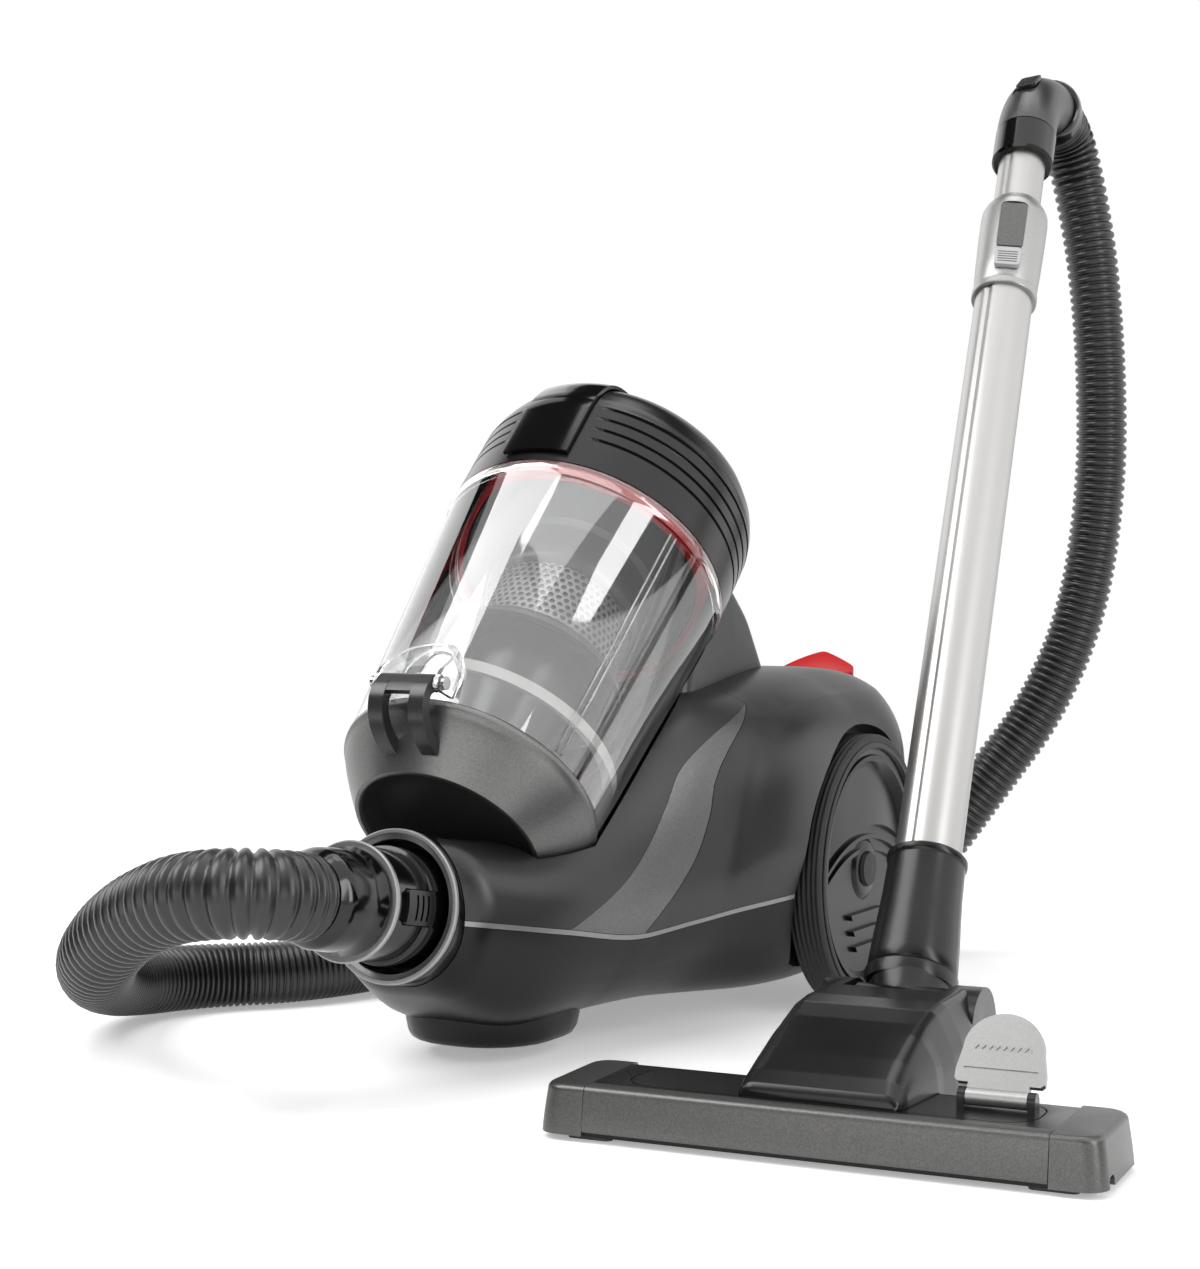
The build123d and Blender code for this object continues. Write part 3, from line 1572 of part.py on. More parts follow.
def end_cap(side):
    """Rounded end of the head, hollow underneath."""
    with BuildPart() as piece:
        with BuildSketch(head_plane.offset(head_floor_gap + 1)):
            with Locations((side * (half_length - end_cap_width), head_depth / 2)):
                RectangleRounded(2 * end_cap_width, head_depth, 12)
            with Locations((side * (half_length - 2.5 * end_cap_width), head_depth / 2)):
                Rectangle(3 * end_cap_width, head_depth + 2, mode=Mode.SUBTRACT)
        extrude(amount=head_height - head_floor_gap - 1)
        fillet(piece.faces().sort_by(Axis.Z)[-1].edges().filter_by(GeomType.CIRCLE), 2.5)
        with BuildSketch(head_plane.offset(head_floor_gap)):
            with Locations((side * (half_length - end_cap_width - 2.5), head_depth / 2)):
                RectangleRounded(2 * end_cap_width - 1, head_depth - 6, 9)
        extrude(amount=head_height - head_floor_gap - 3, mode=Mode.SUBTRACT)
        with BuildSketch(head_side.offset(side * (half_length - 8))):
            with Locations((15, head_floor_gap + 1)):
                Rectangle(9, 7)
        extrude(amount=side * 12, mode=Mode.SUBTRACT)
    return piece.part


end_cap_right = end_cap(1)
end_cap_left = end_cap(-1)

# top plate: deck, rear skirt, duct opening and the ears of the foot pedal
duct_half_width = 20.0
duct_y = 47.0
duct_depth = 24.0
with BuildPart() as top_plate:
    deck_half = half_length - end_cap_width - seat_gap
    add(
        head_block(
            -deck_half,
            deck_half,
            [
                (bumper_depth + seat_gap, plate_low),
                (bumper_depth + seat_gap, plate_low + plate_thickness),
                (head_depth, plate_low + plate_thickness),
                (head_depth, base_height + 4),
                (head_depth - 2.5, base_height + 4),
                (head_depth - 2.5, plate_low),
            ],
        )
    )
    for side in (-1, 1):
        ear_x = pedal_x + side * (pedal_tongue / 2 + seat_gap)
        with BuildSketch(head_side.offset(ear_x)):
            with Locations((pedal_y, pedal_level - 3.4)):
                Rectangle(8, 5.2)
            with Locations((pedal_y, pedal_level)):
                Circle(pedal_barrel_radius)
                Circle(pedal_pin_radius, mode=Mode.SUBTRACT)
        extrude(amount=side * 3.5)
    with BuildSketch(head_plane.offset(plate_low - 1)):
        with Locations((0, duct_y)):
            Rectangle(2 * duct_half_width, duct_depth)
    extrude(amount=plate_thickness + 2, mode=Mode.SUBTRACT)

# hump: wedge over the duct, ending in the open seat and the two cheeks of the pivot
seat_half = pivot_length / 2 + seat_gap
hump_foot = plate_low + plate_thickness
with BuildPart() as head_hump:
    with BuildSketch(head_side.offset(-hump_half_width)):
        with BuildLine():
            lid = Polyline(
                (pivot_depth, pivot_height - cheek_radius),
                (head_depth + 2, base_height + 4),
                (head_depth + 2, hump_foot),
                (hump_front, hump_foot),
                (hump_front, hump_foot + 5),
                (hump_crest, hump_top),
                (pivot_depth, pivot_height + cheek_radius),
            )
            ThreePointArc(lid @ 1, (pivot_depth + cheek_radius, pivot_height), lid @ 0)
        make_face()
    extrude(amount=2 * hump_half_width)
    with BuildSketch(head_plane):
        with BuildLine():
            Polyline(
                (-hump_front_half, hump_front),
                (hump_front_half, hump_front),
                (hump_half_width, hump_crest),
                (hump_half_width - 6, pivot_depth + 30),
                (6 - hump_half_width, pivot_depth + 30),
                (-hump_half_width, hump_crest),
                close=True,
            )
        make_face()
    extrude(amount=2 * hump_top, mode=Mode.INTERSECT)
    # chamfered flanks
    for side in (-1, 1):
        with BuildSketch(Plane(origin=head_plane.origin, x_dir=head_plane.x_dir, z_dir=-head_plane.y_dir)):
            with BuildLine():
                Polyline(
                    (side * (hump_half_width - 13), hump_top + 1),
                    (side * (hump_half_width + 9), hump_top + 1),
                    (side * (hump_half_width + 9), hump_top - 20),
                    (side * (hump_half_width + 1), hump_top - 24),
                    close=True,
                )
            make_face()
        extrude(amount=-pivot_depth - 40, mode=Mode.SUBTRACT)
    # hollow, its opening down to the deck and the bore to the seat
    add(
        head_block(
            6 - hump_front_half,
            hump_front_half - 6,
            [
                (hump_front + 14, hump_foot + 3),
                (hump_crest, hump_top - 4),
                (pivot_depth - 24, hump_top - 4),
                (pivot_depth - 24, pivot_height - 17),
                (head_depth + 8, pivot_height - 18),
                (head_depth + 8, hump_foot + 3),
            ],
        ),
        mode=Mode.SUBTRACT,
    )
    with BuildSketch(head_plane.offset(hump_foot - 1)):
        with Locations((0, duct_y)):
            Rectangle(2 * duct_half_width, duct_depth)
    extrude(amount=6, mode=Mode.SUBTRACT)
    with BuildSketch(Plane(head_side.origin + head_plane.y_dir * (pivot_depth - 26) + Vector(0, 0, pivot_height), z_dir=head_plane.y_dir)):
        Circle(12)
    extrude(amount=10, mode=Mode.SUBTRACT)
    add(head_rod(pivot_radius + seat_gap, -seat_half, seat_half, pivot_depth, pivot_height), mode=Mode.SUBTRACT)
    add(
        head_block(
            -seat_half,
            seat_half,
            [
                (pivot_depth - pivot_radius - seat_gap, pivot_height),
                (pivot_depth - pivot_radius - seat_gap, hump_top + 5),
                (pivot_depth + cheek_radius + 5, hump_top + 5),
                (pivot_depth + cheek_radius + 5, 5),
                (pivot_depth, 5),
                (pivot_depth, pivot_height),
            ],
        ),
        mode=Mode.SUBTRACT,
    )
    add(
        head_rod(pivot_pin_radius + running_gap, -hump_half_width, hump_half_width, pivot_depth, pivot_height),
        mode=Mode.SUBTRACT,
    )

# steel pins that the head pitches on, pressed into the elbow
with BuildPart() as pitch_pins:
    for side in (-1, 1):
        with BuildSketch(head_side.offset(side * (pivot_length / 2 - 6))):
            with Locations((pivot_depth, pivot_height)):
                Circle(pivot_pin_radius)
        extrude(amount=side * 20)

# foot pedal: leaning plate on a barrel, with its pin
pedal_plane = Plane(
    origin=head_plane.origin + head_plane.x_dir * pedal_x + head_plane.y_dir * pedal_y + Vector(0, 0, pedal_level),
    x_dir=head_plane.x_dir,
    z_dir=-(head_plane.y_dir * cos(radians(pedal_lean)) - Vector(0, 0, 1) * sin(radians(pedal_lean))),
)
pedal_thickness = 4.0
pedal_base = 6.0
with BuildPart() as foot_pedal:
    with BuildSketch(pedal_plane):
        with Locations((0, pedal_base + pedal_height / 2)):
            RectangleRounded(pedal_width, pedal_height, 9)
        with Locations((0, pedal_base / 2 + 4)):
            Rectangle(pedal_tongue, pedal_base + 8)
    extrude(amount=pedal_thickness / 2, both=True)
    add(
        head_rod(
            pedal_barrel_radius, pedal_x - pedal_tongue / 2, pedal_x + pedal_tongue / 2, pedal_y, pedal_level
        )
    )
    # grip ridges across the plate
    with BuildSketch(pedal_plane.offset(pedal_thickness / 2)):
        for k in range(3):
            with Locations((0, pedal_base + 14 + 9 * k)):
                Rectangle(pedal_width - 14, 2.2)
    extrude(amount=0.9)
    add(
        head_rod(
            pedal_pin_radius + running_gap, pedal_x - pedal_width, pedal_x + pedal_width, pedal_y, pedal_level
        ),
        mode=Mode.SUBTRACT,
    )
pedal_pin = head_rod(
    pedal_pin_radius,
    pedal_x - pedal_tongue / 2 - seat_gap - 3.5,
    pedal_x + pedal_tongue / 2 + seat_gap + 3.5,
    pedal_y,
    pedal_level,
)

# brush that the pedal lowers
brush_half = mouth_width / 2 - end_cap_width - 1
brush_foot = brush_travel + 0.5
with BuildPart() as brush_bar:
    with BuildSketch(head_plane.offset(brush_foot + 5)):
        with Locations((0, brush_y)):
            Rectangle(2 * brush_half, brush_depth)
    extrude(amount=8)
with BuildPart() as brush_strip:
    add(brush_bar.part)
    with BuildSketch(head_plane.offset(brush_foot)):
        with Locations((0, brush_y)):
            with GridLocations(2 * brush_half / tuft_count, 0, tuft_count, 1):
                Rectangle(0.6 * 2 * brush_half / tuft_count, brush_depth - 2)
    extrude(amount=5)


# each roller turns with its own stub shafts in the sole
def head_roller(side):
    with BuildPart() as piece:
        middle = side * roller_x
        add(head_rod(roller_radius, middle - roller_width / 2, middle + roller_width / 2, roller_y, roller_radius))
        add(
            head_rod(
                roller_pin_radius, middle - roller_width / 2 - 5, middle + roller_width / 2 + 5, roller_y, roller_radius
            )
        )
    return piece.part


roller_right = head_roller(1)
roller_left = head_roller(-1)

# ---------------------------------------------------------------- named pieces
named_parts = {
    "chassis_base": chassis_tray.part,
    "seam_trim": seam_band.part,
    "front_housing": cradle.part,
    "side_trim_right": side_trim_right.part,
    "side_trim_left": side_trim_left.part,
    "rear_hood": hood_cover.part,
    "inlet_collar": inlet_collar,
    "inlet_ring": collar_ring,
    "hose_connector": hose_connector.part,
    "connector_latch": connector_latch.part,
    "inlet_cuff": inlet_cuff.part,
    "stretch_hose": stretch_hose.part,
    "dust_cup": dust_cup.part,
    "cup_door": cup_door.part,
    "door_pin": door_pin.part,
    "cup_cap": cup_cap.part,
    "carry_handle": carry_handle.part,
    "cup_ring": red_ring,
    "shroud": shroud.part,
    "cyclone_cone": cyclone_cone.part,
    "pleated_filter": pleated_filter.part,
    "baffle_ring": baffle_ring,
    "cup_catch": cup_catch.part,
    "wheel_right": wheel_right,
    "wheel_left": wheel_left,
    "tyre_right": tyre_right,
    "tyre_left": tyre_left,
    "stub_axles": stub_axles.part,
    "caster_fork": caster_fork.part,
    "caster_wheel": caster_wheel,
    "caster_pin": caster_pin,
    "power_pedal": power_pedal,
    "rewind_pedal": rewind_pedal,
    "motor_can": motor_can.part,
    "motor_fan": motor_fan.part,
    "cord_reel": cord_reel,
    "outer_tube": outer_tube,
    "inner_tube": inner_tube,
    "wand_collar": wand_collar.part,
    "collar_button": collar_button.part,
    "handle_cuff": handle_cuff,
    "grip_right": grip_right.part,
    "grip_left": grip_left.part,
    "suction_slider": suction_slider.part,
    "hose_swivel": hose_swivel,
    "neck_sleeve": neck_sleeve,
    "neck_elbow": neck_elbow.part,
    "head_sole": head_sole.part,
    "glide_pads": glide_pads.part,
    "bumper": bumper,
    "end_cap_right": end_cap_right,
    "end_cap_left": end_cap_left,
    "top_plate": top_plate.part,
    "head_hump": head_hump.part,
    "pitch_pins": pitch_pins.part,
    "foot_pedal": foot_pedal.part,
    "pedal_pin": pedal_pin,
    "brush_strip": brush_strip.part,
    "roller_right": roller_right,
    "roller_left": roller_left,
}
for name, piece in named_parts.items():
    piece.label = name
    export_step(piece, f"parts/{name}.step")
    box = piece.bounding_box()
    print(name, round(piece.volume), piece.is_valid, len(piece.solids()), box.min, box.max)
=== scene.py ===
# %% [markdown]
# A canister vacuum cleaner in one script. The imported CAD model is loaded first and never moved:
# every new surface is worked out with numpy in the same frame, so each piece lands where the
# CAD says. The helpers below carry profiles round an axis or along a path and cut closed shapes.

# %% Load the fixed frame and keep its box
import bmesh
import bpy
import json
import math
import numpy as np
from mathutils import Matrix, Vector


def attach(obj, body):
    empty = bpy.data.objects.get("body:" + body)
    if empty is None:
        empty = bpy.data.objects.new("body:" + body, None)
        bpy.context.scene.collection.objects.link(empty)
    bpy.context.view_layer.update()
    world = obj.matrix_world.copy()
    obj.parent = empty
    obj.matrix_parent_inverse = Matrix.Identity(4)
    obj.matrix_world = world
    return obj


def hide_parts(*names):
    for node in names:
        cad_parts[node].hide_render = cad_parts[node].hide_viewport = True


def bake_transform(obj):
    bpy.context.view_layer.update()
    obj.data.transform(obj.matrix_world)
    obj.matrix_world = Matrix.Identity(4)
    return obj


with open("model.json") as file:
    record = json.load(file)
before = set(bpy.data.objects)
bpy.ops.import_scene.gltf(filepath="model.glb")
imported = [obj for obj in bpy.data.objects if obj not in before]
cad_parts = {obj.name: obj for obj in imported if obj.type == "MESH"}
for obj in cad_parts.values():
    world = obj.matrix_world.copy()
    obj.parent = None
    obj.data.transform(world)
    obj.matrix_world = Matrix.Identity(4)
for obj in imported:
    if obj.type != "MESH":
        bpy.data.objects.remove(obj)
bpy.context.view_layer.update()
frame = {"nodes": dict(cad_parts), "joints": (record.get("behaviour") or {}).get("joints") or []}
scene = bpy.context.scene
MM = 0.001

# %% [markdown]
# The canister, the dust cup, the inlet, the wand and the floor head each lean their own way, so
# each gets a small frame of its own: an origin and three axes. A point written as (across, along,
# up) in such a frame is turned into the shared frame by one matrix product.

# %% Local frames in millimetres, and how a point is placed


def unit(v):
    """v divided by its length."""
    v = np.asarray(v, float)
    return v / np.linalg.norm(v)


class Place:
    """Origin and three axes in mm; place(points) gives metres in the shared frame."""

    def __init__(self, origin, x, z):
        """Keeps z and turns x square to it; y = z cross x."""
        self.o = np.asarray(origin, float)
        self.z = unit(z)
        self.x = unit(np.asarray(x, float) - np.dot(x, self.z) * self.z)
        self.y = np.cross(self.z, self.x)

    def __call__(self, points):
        """point = (origin + a x + b y + c z) * 0.001 for (a, b, c) in mm."""
        p = np.asarray(points, float)
        return (self.o + p[..., :1] * self.x + p[..., 1:2] * self.y + p[..., 2:3] * self.z) * MM

    def along(self, distance):
        """The same axes from an origin moved along z."""
        return Place(self.o + self.z * distance, self.x, self.z)


CANISTER = (-130.0, -49.0, 0.0)
lean = math.radians(45.72)
rise = math.radians(10.4)
wand_lean, wand_turn, wand_face = (math.radians(a) for a in (35.25, 9.39, 21.0))
head_turn = math.radians(3.9)
can = Place(CANISTER, (1, 0, 0), (0, 0, 1))
cup = Place((-130, -49 + 24.8, 267.2), (1, 0, 0), (0, math.sin(lean), math.cos(lean)))
inlet = Place((-130, -49 - 177.9, 91.7), (1, 0, 0), (0, -math.cos(rise), math.sin(rise)))
wand_axis = np.array(
    (
        -math.sin(wand_lean) * math.sin(wand_turn),
        math.sin(wand_lean) * math.cos(wand_turn),
        math.cos(wand_lean),
    )
)
wand = Place((100, -42.2, 155.8), (math.cos(wand_face), math.sin(wand_face), 0), wand_axis)
head = Place((128.5, -283.6, 0), (math.cos(head_turn), math.sin(head_turn), 0), (0, 0, 1))
print("wand axis", np.round(wand_axis, 4))

# %% [markdown]
# A surface is a grid of points worked out in one go. The helper below joins neighbouring rows and
# columns into quads, closes the grid where it runs round, and caps open ends with a fan of
# triangles, so that every shape is closed and its faces point outwards.

# %% Mesh helpers
collection = scene.collection


def new_object(name, verts, faces, smooth=35.0):
    """Mesh object from points (metres) and faces; smooth shaded up to the given angle."""
    mesh = bpy.data.meshes.new(name)
    mesh.from_pydata(np.asarray(verts).reshape(-1, 3).tolist(), [], list(faces))
    mesh.validate()
    piece = bpy.data.objects.new(name, mesh)
    collection.objects.link(piece)
    finish_shading(piece, smooth)
    return piece


def finish_shading(piece, smooth):
    """Smooth shading, with a sharp edge where faces meet at more than the angle (degrees)."""
    mesh = piece.data
    mesh.polygons.foreach_set("use_smooth", np.ones(len(mesh.polygons), bool))
    if smooth < 180:
        mesh.set_sharp_from_angle(angle=math.radians(smooth))
    mesh.update()


def grid_faces(rows, cols, around=False, along=False, flip=False):
    """Quads between rows and columns of a grid; around closes the columns, along the rows."""
    r = np.arange(rows if along else rows - 1)[:, None]
    c = np.arange(cols if around else cols - 1)[None, :]
    r2, c2 = (r + 1) % rows, (c + 1) % cols
    quads = np.stack(
        [r * cols + c + 0 * c2, r * cols + c2, r2 * cols + c2, r2 * cols + c + 0 * c2], -1
    ).reshape(-1, 4)
    return (quads[:, ::-1] if flip else quads).tolist()


def outward(piece):
    """Merges doubles and turns all faces outwards."""
    b = bmesh.new()
    b.from_mesh(piece.data)
    bmesh.ops.remove_doubles(b, verts=b.verts, dist=1e-6)
    bmesh.ops.dissolve_degenerate(b, edges=b.edges, dist=1e-7)
    bmesh.ops.recalc_face_normals(b, faces=b.faces)
    b.to_mesh(piece.data)
    b.free()
    return piece


def tube_grid(name, rings, smooth=35.0):
    """Closed skin over a stack of closed rings, shape (rows, columns, 3), in metres. Each end is a
    fan of triangles round the ring's mean point."""
    rings = np.asarray(rings)
    rows, cols = rings.shape[:2]
    verts = np.vstack([rings.reshape(-1, 3), rings[0].mean(0), rings[-1].mean(0)])
    c = np.arange(cols)
    d = (c + 1) % cols
    low_fan = np.column_stack([np.full(cols, rows * cols), d, c])
    high_fan = np.column_stack([np.full(cols, rows * cols + 1), (rows - 1) * cols + c,
        (rows - 1) * cols + d])
    faces = grid_faces(rows, cols, around=True) + low_fan.tolist() + high_fan.tolist()
    piece = new_object(name, verts, faces, smooth)
    outward(piece)
    finish_shading(piece, smooth)
    return piece


def revolve(name, place, profile, columns=96, smooth=35.0, start=0.0, turn=360.0):
    """(radius, station) profile in mm turned about the place's z axis. Point = axis + r (cos, sin)."""
    profile = np.asarray(profile, float)
    full = turn >= 360.0
    angles = np.radians(start + np.linspace(0, turn, columns, endpoint=not full))
    r, t = profile[:, 0][:, None], profile[:, 1][:, None]
    pts = np.stack([r * np.cos(angles), r * np.sin(angles), t + 0 * angles], -1)
    verts = place(pts)
    closed_profile = bool(np.all(profile[0] == profile[-1]))
    rows = len(profile) - 1 if closed_profile else len(profile)
    verts = verts[:rows]
    faces = grid_faces(rows, columns, around=full, along=closed_profile)
    piece = new_object(name, verts, faces, smooth)
    outward(piece)
    finish_shading(piece, smooth)
    return piece


def prism(name, place, outline, low_z, high_z, smooth=35.0):
    """Closed outline (x, y) in mm raised between two heights on the place's z axis."""
    outline = np.asarray(outline, float)
    rings = [np.column_stack([outline, np.full(len(outline), z)]) for z in (low_z, high_z)]
    count = len(outline)
    verts = place(np.vstack(rings))
    faces = grid_faces(2, count, around=True) + [list(range(count))[::-1], list(range(count, 2 * count))]
    piece = new_object(name, verts, faces, smooth)
    outward(piece)
    finish_shading(piece, smooth)
    return piece


def rounded_box(width, depth, radius, corner=6):
    """Outline of a rectangle with round corners, centred, as (x, y) points."""
    points = []
    for k, (sx, sy) in enumerate(((1, 1), (-1, 1), (-1, -1), (1, -1))):
        a = np.radians(np.linspace(90 * k, 90 * k + 90, corner + 1))
        cx, cy = sx * (width / 2 - radius), sy * (depth / 2 - radius)
        points.append(np.column_stack([cx + radius * np.cos(a), cy + radius * np.sin(a)]))
    return np.vstack(points)


def smooth_curve(points, count):
    """Uniform Catmull-Rom curve through the points, sampled evenly by index."""
    p = np.asarray(points, float)
    p = np.vstack([2 * p[0] - p[1], p, 2 * p[-1] - p[-2]])
    t = np.linspace(0, len(p) - 3 - 1e-9, count)
    k = t.astype(int)
    u = (t - k)[:, None]
    a, b, c, d = p[k], p[k + 1], p[k + 2], p[k + 3]
    return 0.5 * (2 * b + (c - a) * u + (2 * a - 5 * b + 4 * c - d) * u**2 + (3 * b - a - 3 * c + d) * u**3)


def combine(piece, operation, *tools, solver="MANIFOLD"):
    """Cuts, joins or intersects closed pieces for good; the tools are removed."""
    for tool in tools:
        step = piece.modifiers.new("combine", "BOOLEAN")
        step.operation = operation
        step.solver = solver
        step.object = tool
    bpy.context.view_layer.update()
    shape = bpy.data.meshes.new_from_object(piece.evaluated_get(bpy.context.evaluated_depsgraph_get()))
    piece.modifiers.clear()
    piece.data = shape
    for tool in tools:
        bpy.data.objects.remove(tool)
    return piece


def copy_of(piece, name):
    """Second object with its own copy of the mesh."""
    twin = bpy.data.objects.new(name, piece.data.copy())
    collection.objects.link(twin)
    return twin


def soften(piece, width, segments=2, angle=35.0):
    """Small rounded edge wherever faces meet at more than the angle."""
    step = piece.modifiers.new("soften", "BEVEL")
    step.width = width * MM
    step.segments = segments
    step.limit_method = "ANGLE"
    step.angle_limit = math.radians(angle)
    step.harden_normals = False
    return piece

# %% [markdown]
# The finishes are procedural. Three small node groups give the shared effects: fine grain for
# moulded plastic, flakes for the metallic paint and a slow blotch that makes no surface perfectly
# even. They give out masks and normals only.

# %% Node groups and materials
materials = {}


def node_group(name, inputs, output, kind):
    """New node group with float inputs and one output; gives (group, input node, output node)."""
    group = bpy.data.node_groups.new(name, "ShaderNodeTree")
    for label, value in inputs:
        socket = group.interface.new_socket(name=label, in_out="INPUT", socket_type="NodeSocketFloat")
        socket.default_value = value
    group.interface.new_socket(name=output, in_out="OUTPUT", socket_type=kind)
    return group, group.nodes.new("NodeGroupInput"), group.nodes.new("NodeGroupOutput")


def grain_group():
    """Normal of a finely grained moulded surface, from noise in object space."""
    group, source, sink = node_group(
        "moulded_grain", [("Scale", 900.0), ("Strength", 0.1)], "Normal", "NodeSocketVector"
    )
    place = group.nodes.new("ShaderNodeTexCoord")
    noise = group.nodes.new("ShaderNodeTexNoise")
    noise.inputs["Detail"].default_value = 3.0
    bump = group.nodes.new("ShaderNodeBump")
    bump.inputs["Distance"].default_value = 0.0004
    link = group.links.new
    link(place.outputs["Object"], noise.inputs["Vector"])
    link(source.outputs["Scale"], noise.inputs["Scale"])
    link(noise.outputs["Fac"], bump.inputs["Height"])
    link(source.outputs["Strength"], bump.inputs["Strength"])
    link(bump.outputs["Normal"], sink.inputs["Normal"])
    return group


def flake_group():
    """Mask of metal flakes in paint: bright cells scattered at random."""
    group, source, sink = node_group("paint_flakes", [("Scale", 1800.0)], "Mask", "NodeSocketFloat")
    place = group.nodes.new("ShaderNodeTexCoord")
    cells = group.nodes.new("ShaderNodeTexVoronoi")
    ramp = group.nodes.new("ShaderNodeMapRange")
    ramp.inputs["From Min"].default_value = 0.1
    ramp.inputs["From Max"].default_value = 0.9
    split = group.nodes.new("ShaderNodeSeparateColor")
    link = group.links.new
    link(place.outputs["Object"], cells.inputs["Vector"])
    link(source.outputs["Scale"], cells.inputs["Scale"])
    link(cells.outputs["Color"], split.inputs["Color"])
    link(split.outputs["Red"], ramp.inputs["Value"])
    link(ramp.outputs["Result"], sink.inputs["Mask"])
    return group


def blotch_group():
    """Slow mask that varies the roughness so that no surface is perfectly even."""
    group, source, sink = node_group("slow_blotch", [("Scale", 14.0)], "Mask", "NodeSocketFloat")
    place = group.nodes.new("ShaderNodeTexCoord")
    noise = group.nodes.new("ShaderNodeTexNoise")
    noise.inputs["Detail"].default_value = 4.0
    link = group.links.new
    link(place.outputs["Object"], noise.inputs["Vector"])
    link(source.outputs["Scale"], noise.inputs["Scale"])
    link(noise.outputs["Fac"], sink.inputs["Mask"])
    return group


grain = grain_group()
flakes = flake_group()
blotch = blotch_group()


def material(name, colour, roughness, metallic=0.0, coat=0.0, grain_strength=0.0, flake=0.0, specular=0.5):
    """Principled finish; colour is linear. flake mixes a lighter colour in by the flake mask."""
    m = bpy.data.materials.new(name)
    m.use_nodes = True
    tree = m.node_tree
    shader = tree.nodes["Principled BSDF"]
    shader.inputs["Base Color"].default_value = (*colour, 1)
    shader.inputs["Metallic"].default_value = metallic
    shader.inputs["Roughness"].default_value = roughness
    shader.inputs["Coat Weight"].default_value = coat
    shader.inputs["Coat Roughness"].default_value = 0.08
    shader.inputs["Specular IOR Level"].default_value = specular
    if grain_strength:
        fine = tree.nodes.new("ShaderNodeGroup")
        fine.node_tree = grain
        fine.inputs["Strength"].default_value = grain_strength
        tree.links.new(fine.outputs["Normal"], shader.inputs["Normal"])
    if flake:
        spots = tree.nodes.new("ShaderNodeGroup")
        spots.node_tree = flakes
        mix = tree.nodes.new("ShaderNodeMix")
        mix.data_type = "RGBA"
        mix.inputs["A"].default_value = (*colour, 1)
        mix.inputs["B"].default_value = (*[min(1, c * (1 + flake)) for c in colour], 1)
        tree.links.new(spots.outputs["Mask"], mix.inputs["Factor"])
        tree.links.new(mix.outputs["Result"], shader.inputs["Base Color"])
    slow = tree.nodes.new("ShaderNodeGroup")
    slow.node_tree = blotch
    spread = tree.nodes.new("ShaderNodeMapRange")
    spread.inputs["To Min"].default_value = roughness * 0.85
    spread.inputs["To Max"].default_value = min(1.0, roughness * 1.2)
    tree.links.new(slow.outputs["Mask"], spread.inputs["Value"])
    tree.links.new(spread.outputs["Result"], shader.inputs["Roughness"])
    materials[name] = m
    return m


material("metallic_grey", (0.075, 0.075, 0.076), 0.33, metallic=0.8, flake=0.3, grain_strength=0.03)
material("hull_black", (0.011, 0.011, 0.0112), 0.36, specular=0.6)
material("strip_grey", (0.13, 0.13, 0.131), 0.36, metallic=0.8, flake=0.25, grain_strength=0.03)
material("hinge_grey", (0.06, 0.06, 0.061), 0.34, metallic=0.8, flake=0.2, grain_strength=0.03)
material("door_grey", (0.15, 0.149, 0.147), 0.36, metallic=0.85, flake=0.25, grain_strength=0.03)
material("metallic_light", (0.095, 0.094, 0.092), 0.34, metallic=0.8, flake=0.3, grain_strength=0.03)
material("satin_black", (0.005, 0.005, 0.0051), 0.25, grain_strength=0.03, specular=0.38)
material("gloss_black", (0.003, 0.003, 0.0031), 0.12, coat=0.1, specular=0.4)
material("wheel_black", (0.003, 0.003, 0.0031), 0.22, specular=0.25)
material("soft_black", (0.006, 0.006, 0.0062), 0.5, grain_strength=0.12, specular=0.35)
material("hose_black", (0.009, 0.009, 0.0095), 0.33, specular=0.6)
material("base_black", (0.005, 0.005, 0.0051), 0.3, grain_strength=0.04, specular=0.28)
material("tyre_rubber", (0.006, 0.006, 0.006), 0.6, grain_strength=0.3)
material("silver_satin", (0.34, 0.34, 0.335), 0.36, metallic=0.85, flake=0.1)
material("silver_trim", (0.26, 0.26, 0.255), 0.36, metallic=0.9, flake=0.1)
material("chrome_tube", (0.42, 0.415, 0.405), 0.36, metallic=1.0)
material("steel", (0.5, 0.5, 0.5), 0.25, metallic=1.0)
material("red_plastic", (0.50, 0.004, 0.006), 0.3, specular=0.35)
material("light_plastic", (0.42, 0.42, 0.42), 0.4)
material("cylinder_grey", (0.05, 0.05, 0.051), 0.3, metallic=0.7, flake=0.2)
material("pale_band", (0.62, 0.61, 0.59), 0.35)
material("felt_grey", (0.12, 0.12, 0.12), 0.95, grain_strength=0.5)
material("bristle", (0.02, 0.02, 0.02), 0.8)
material("filter_paper", (0.5, 0.48, 0.43), 0.9)


def clear_material():
    """Thin clear plastic with a faint grey tint: light passes to what is inside, and a dense coat
    adds the strong reflections that such a polished wall shows."""
    m = bpy.data.materials.new("clear_cup")
    m.use_nodes = True
    shader = m.node_tree.nodes["Principled BSDF"]
    shader.inputs["Base Color"].default_value = (0.96, 0.965, 0.97, 1)
    shader.inputs["Roughness"].default_value = 0.02
    shader.inputs["Transmission Weight"].default_value = 1.0
    shader.inputs["IOR"].default_value = 1.5
    shader.inputs["Specular IOR Level"].default_value = 1.0
    shader.inputs["Coat Weight"].default_value = 0.75
    shader.inputs["Coat Roughness"].default_value = 0.03
    shader.inputs["Coat IOR"].default_value = 1.85
    materials["clear_cup"] = m
    return m


clear_material()
print("materials", len(materials))


def paint(piece, name):
    """Gives a piece one finish."""
    piece.data.materials.clear()
    piece.data.materials.append(materials[name])
    return piece

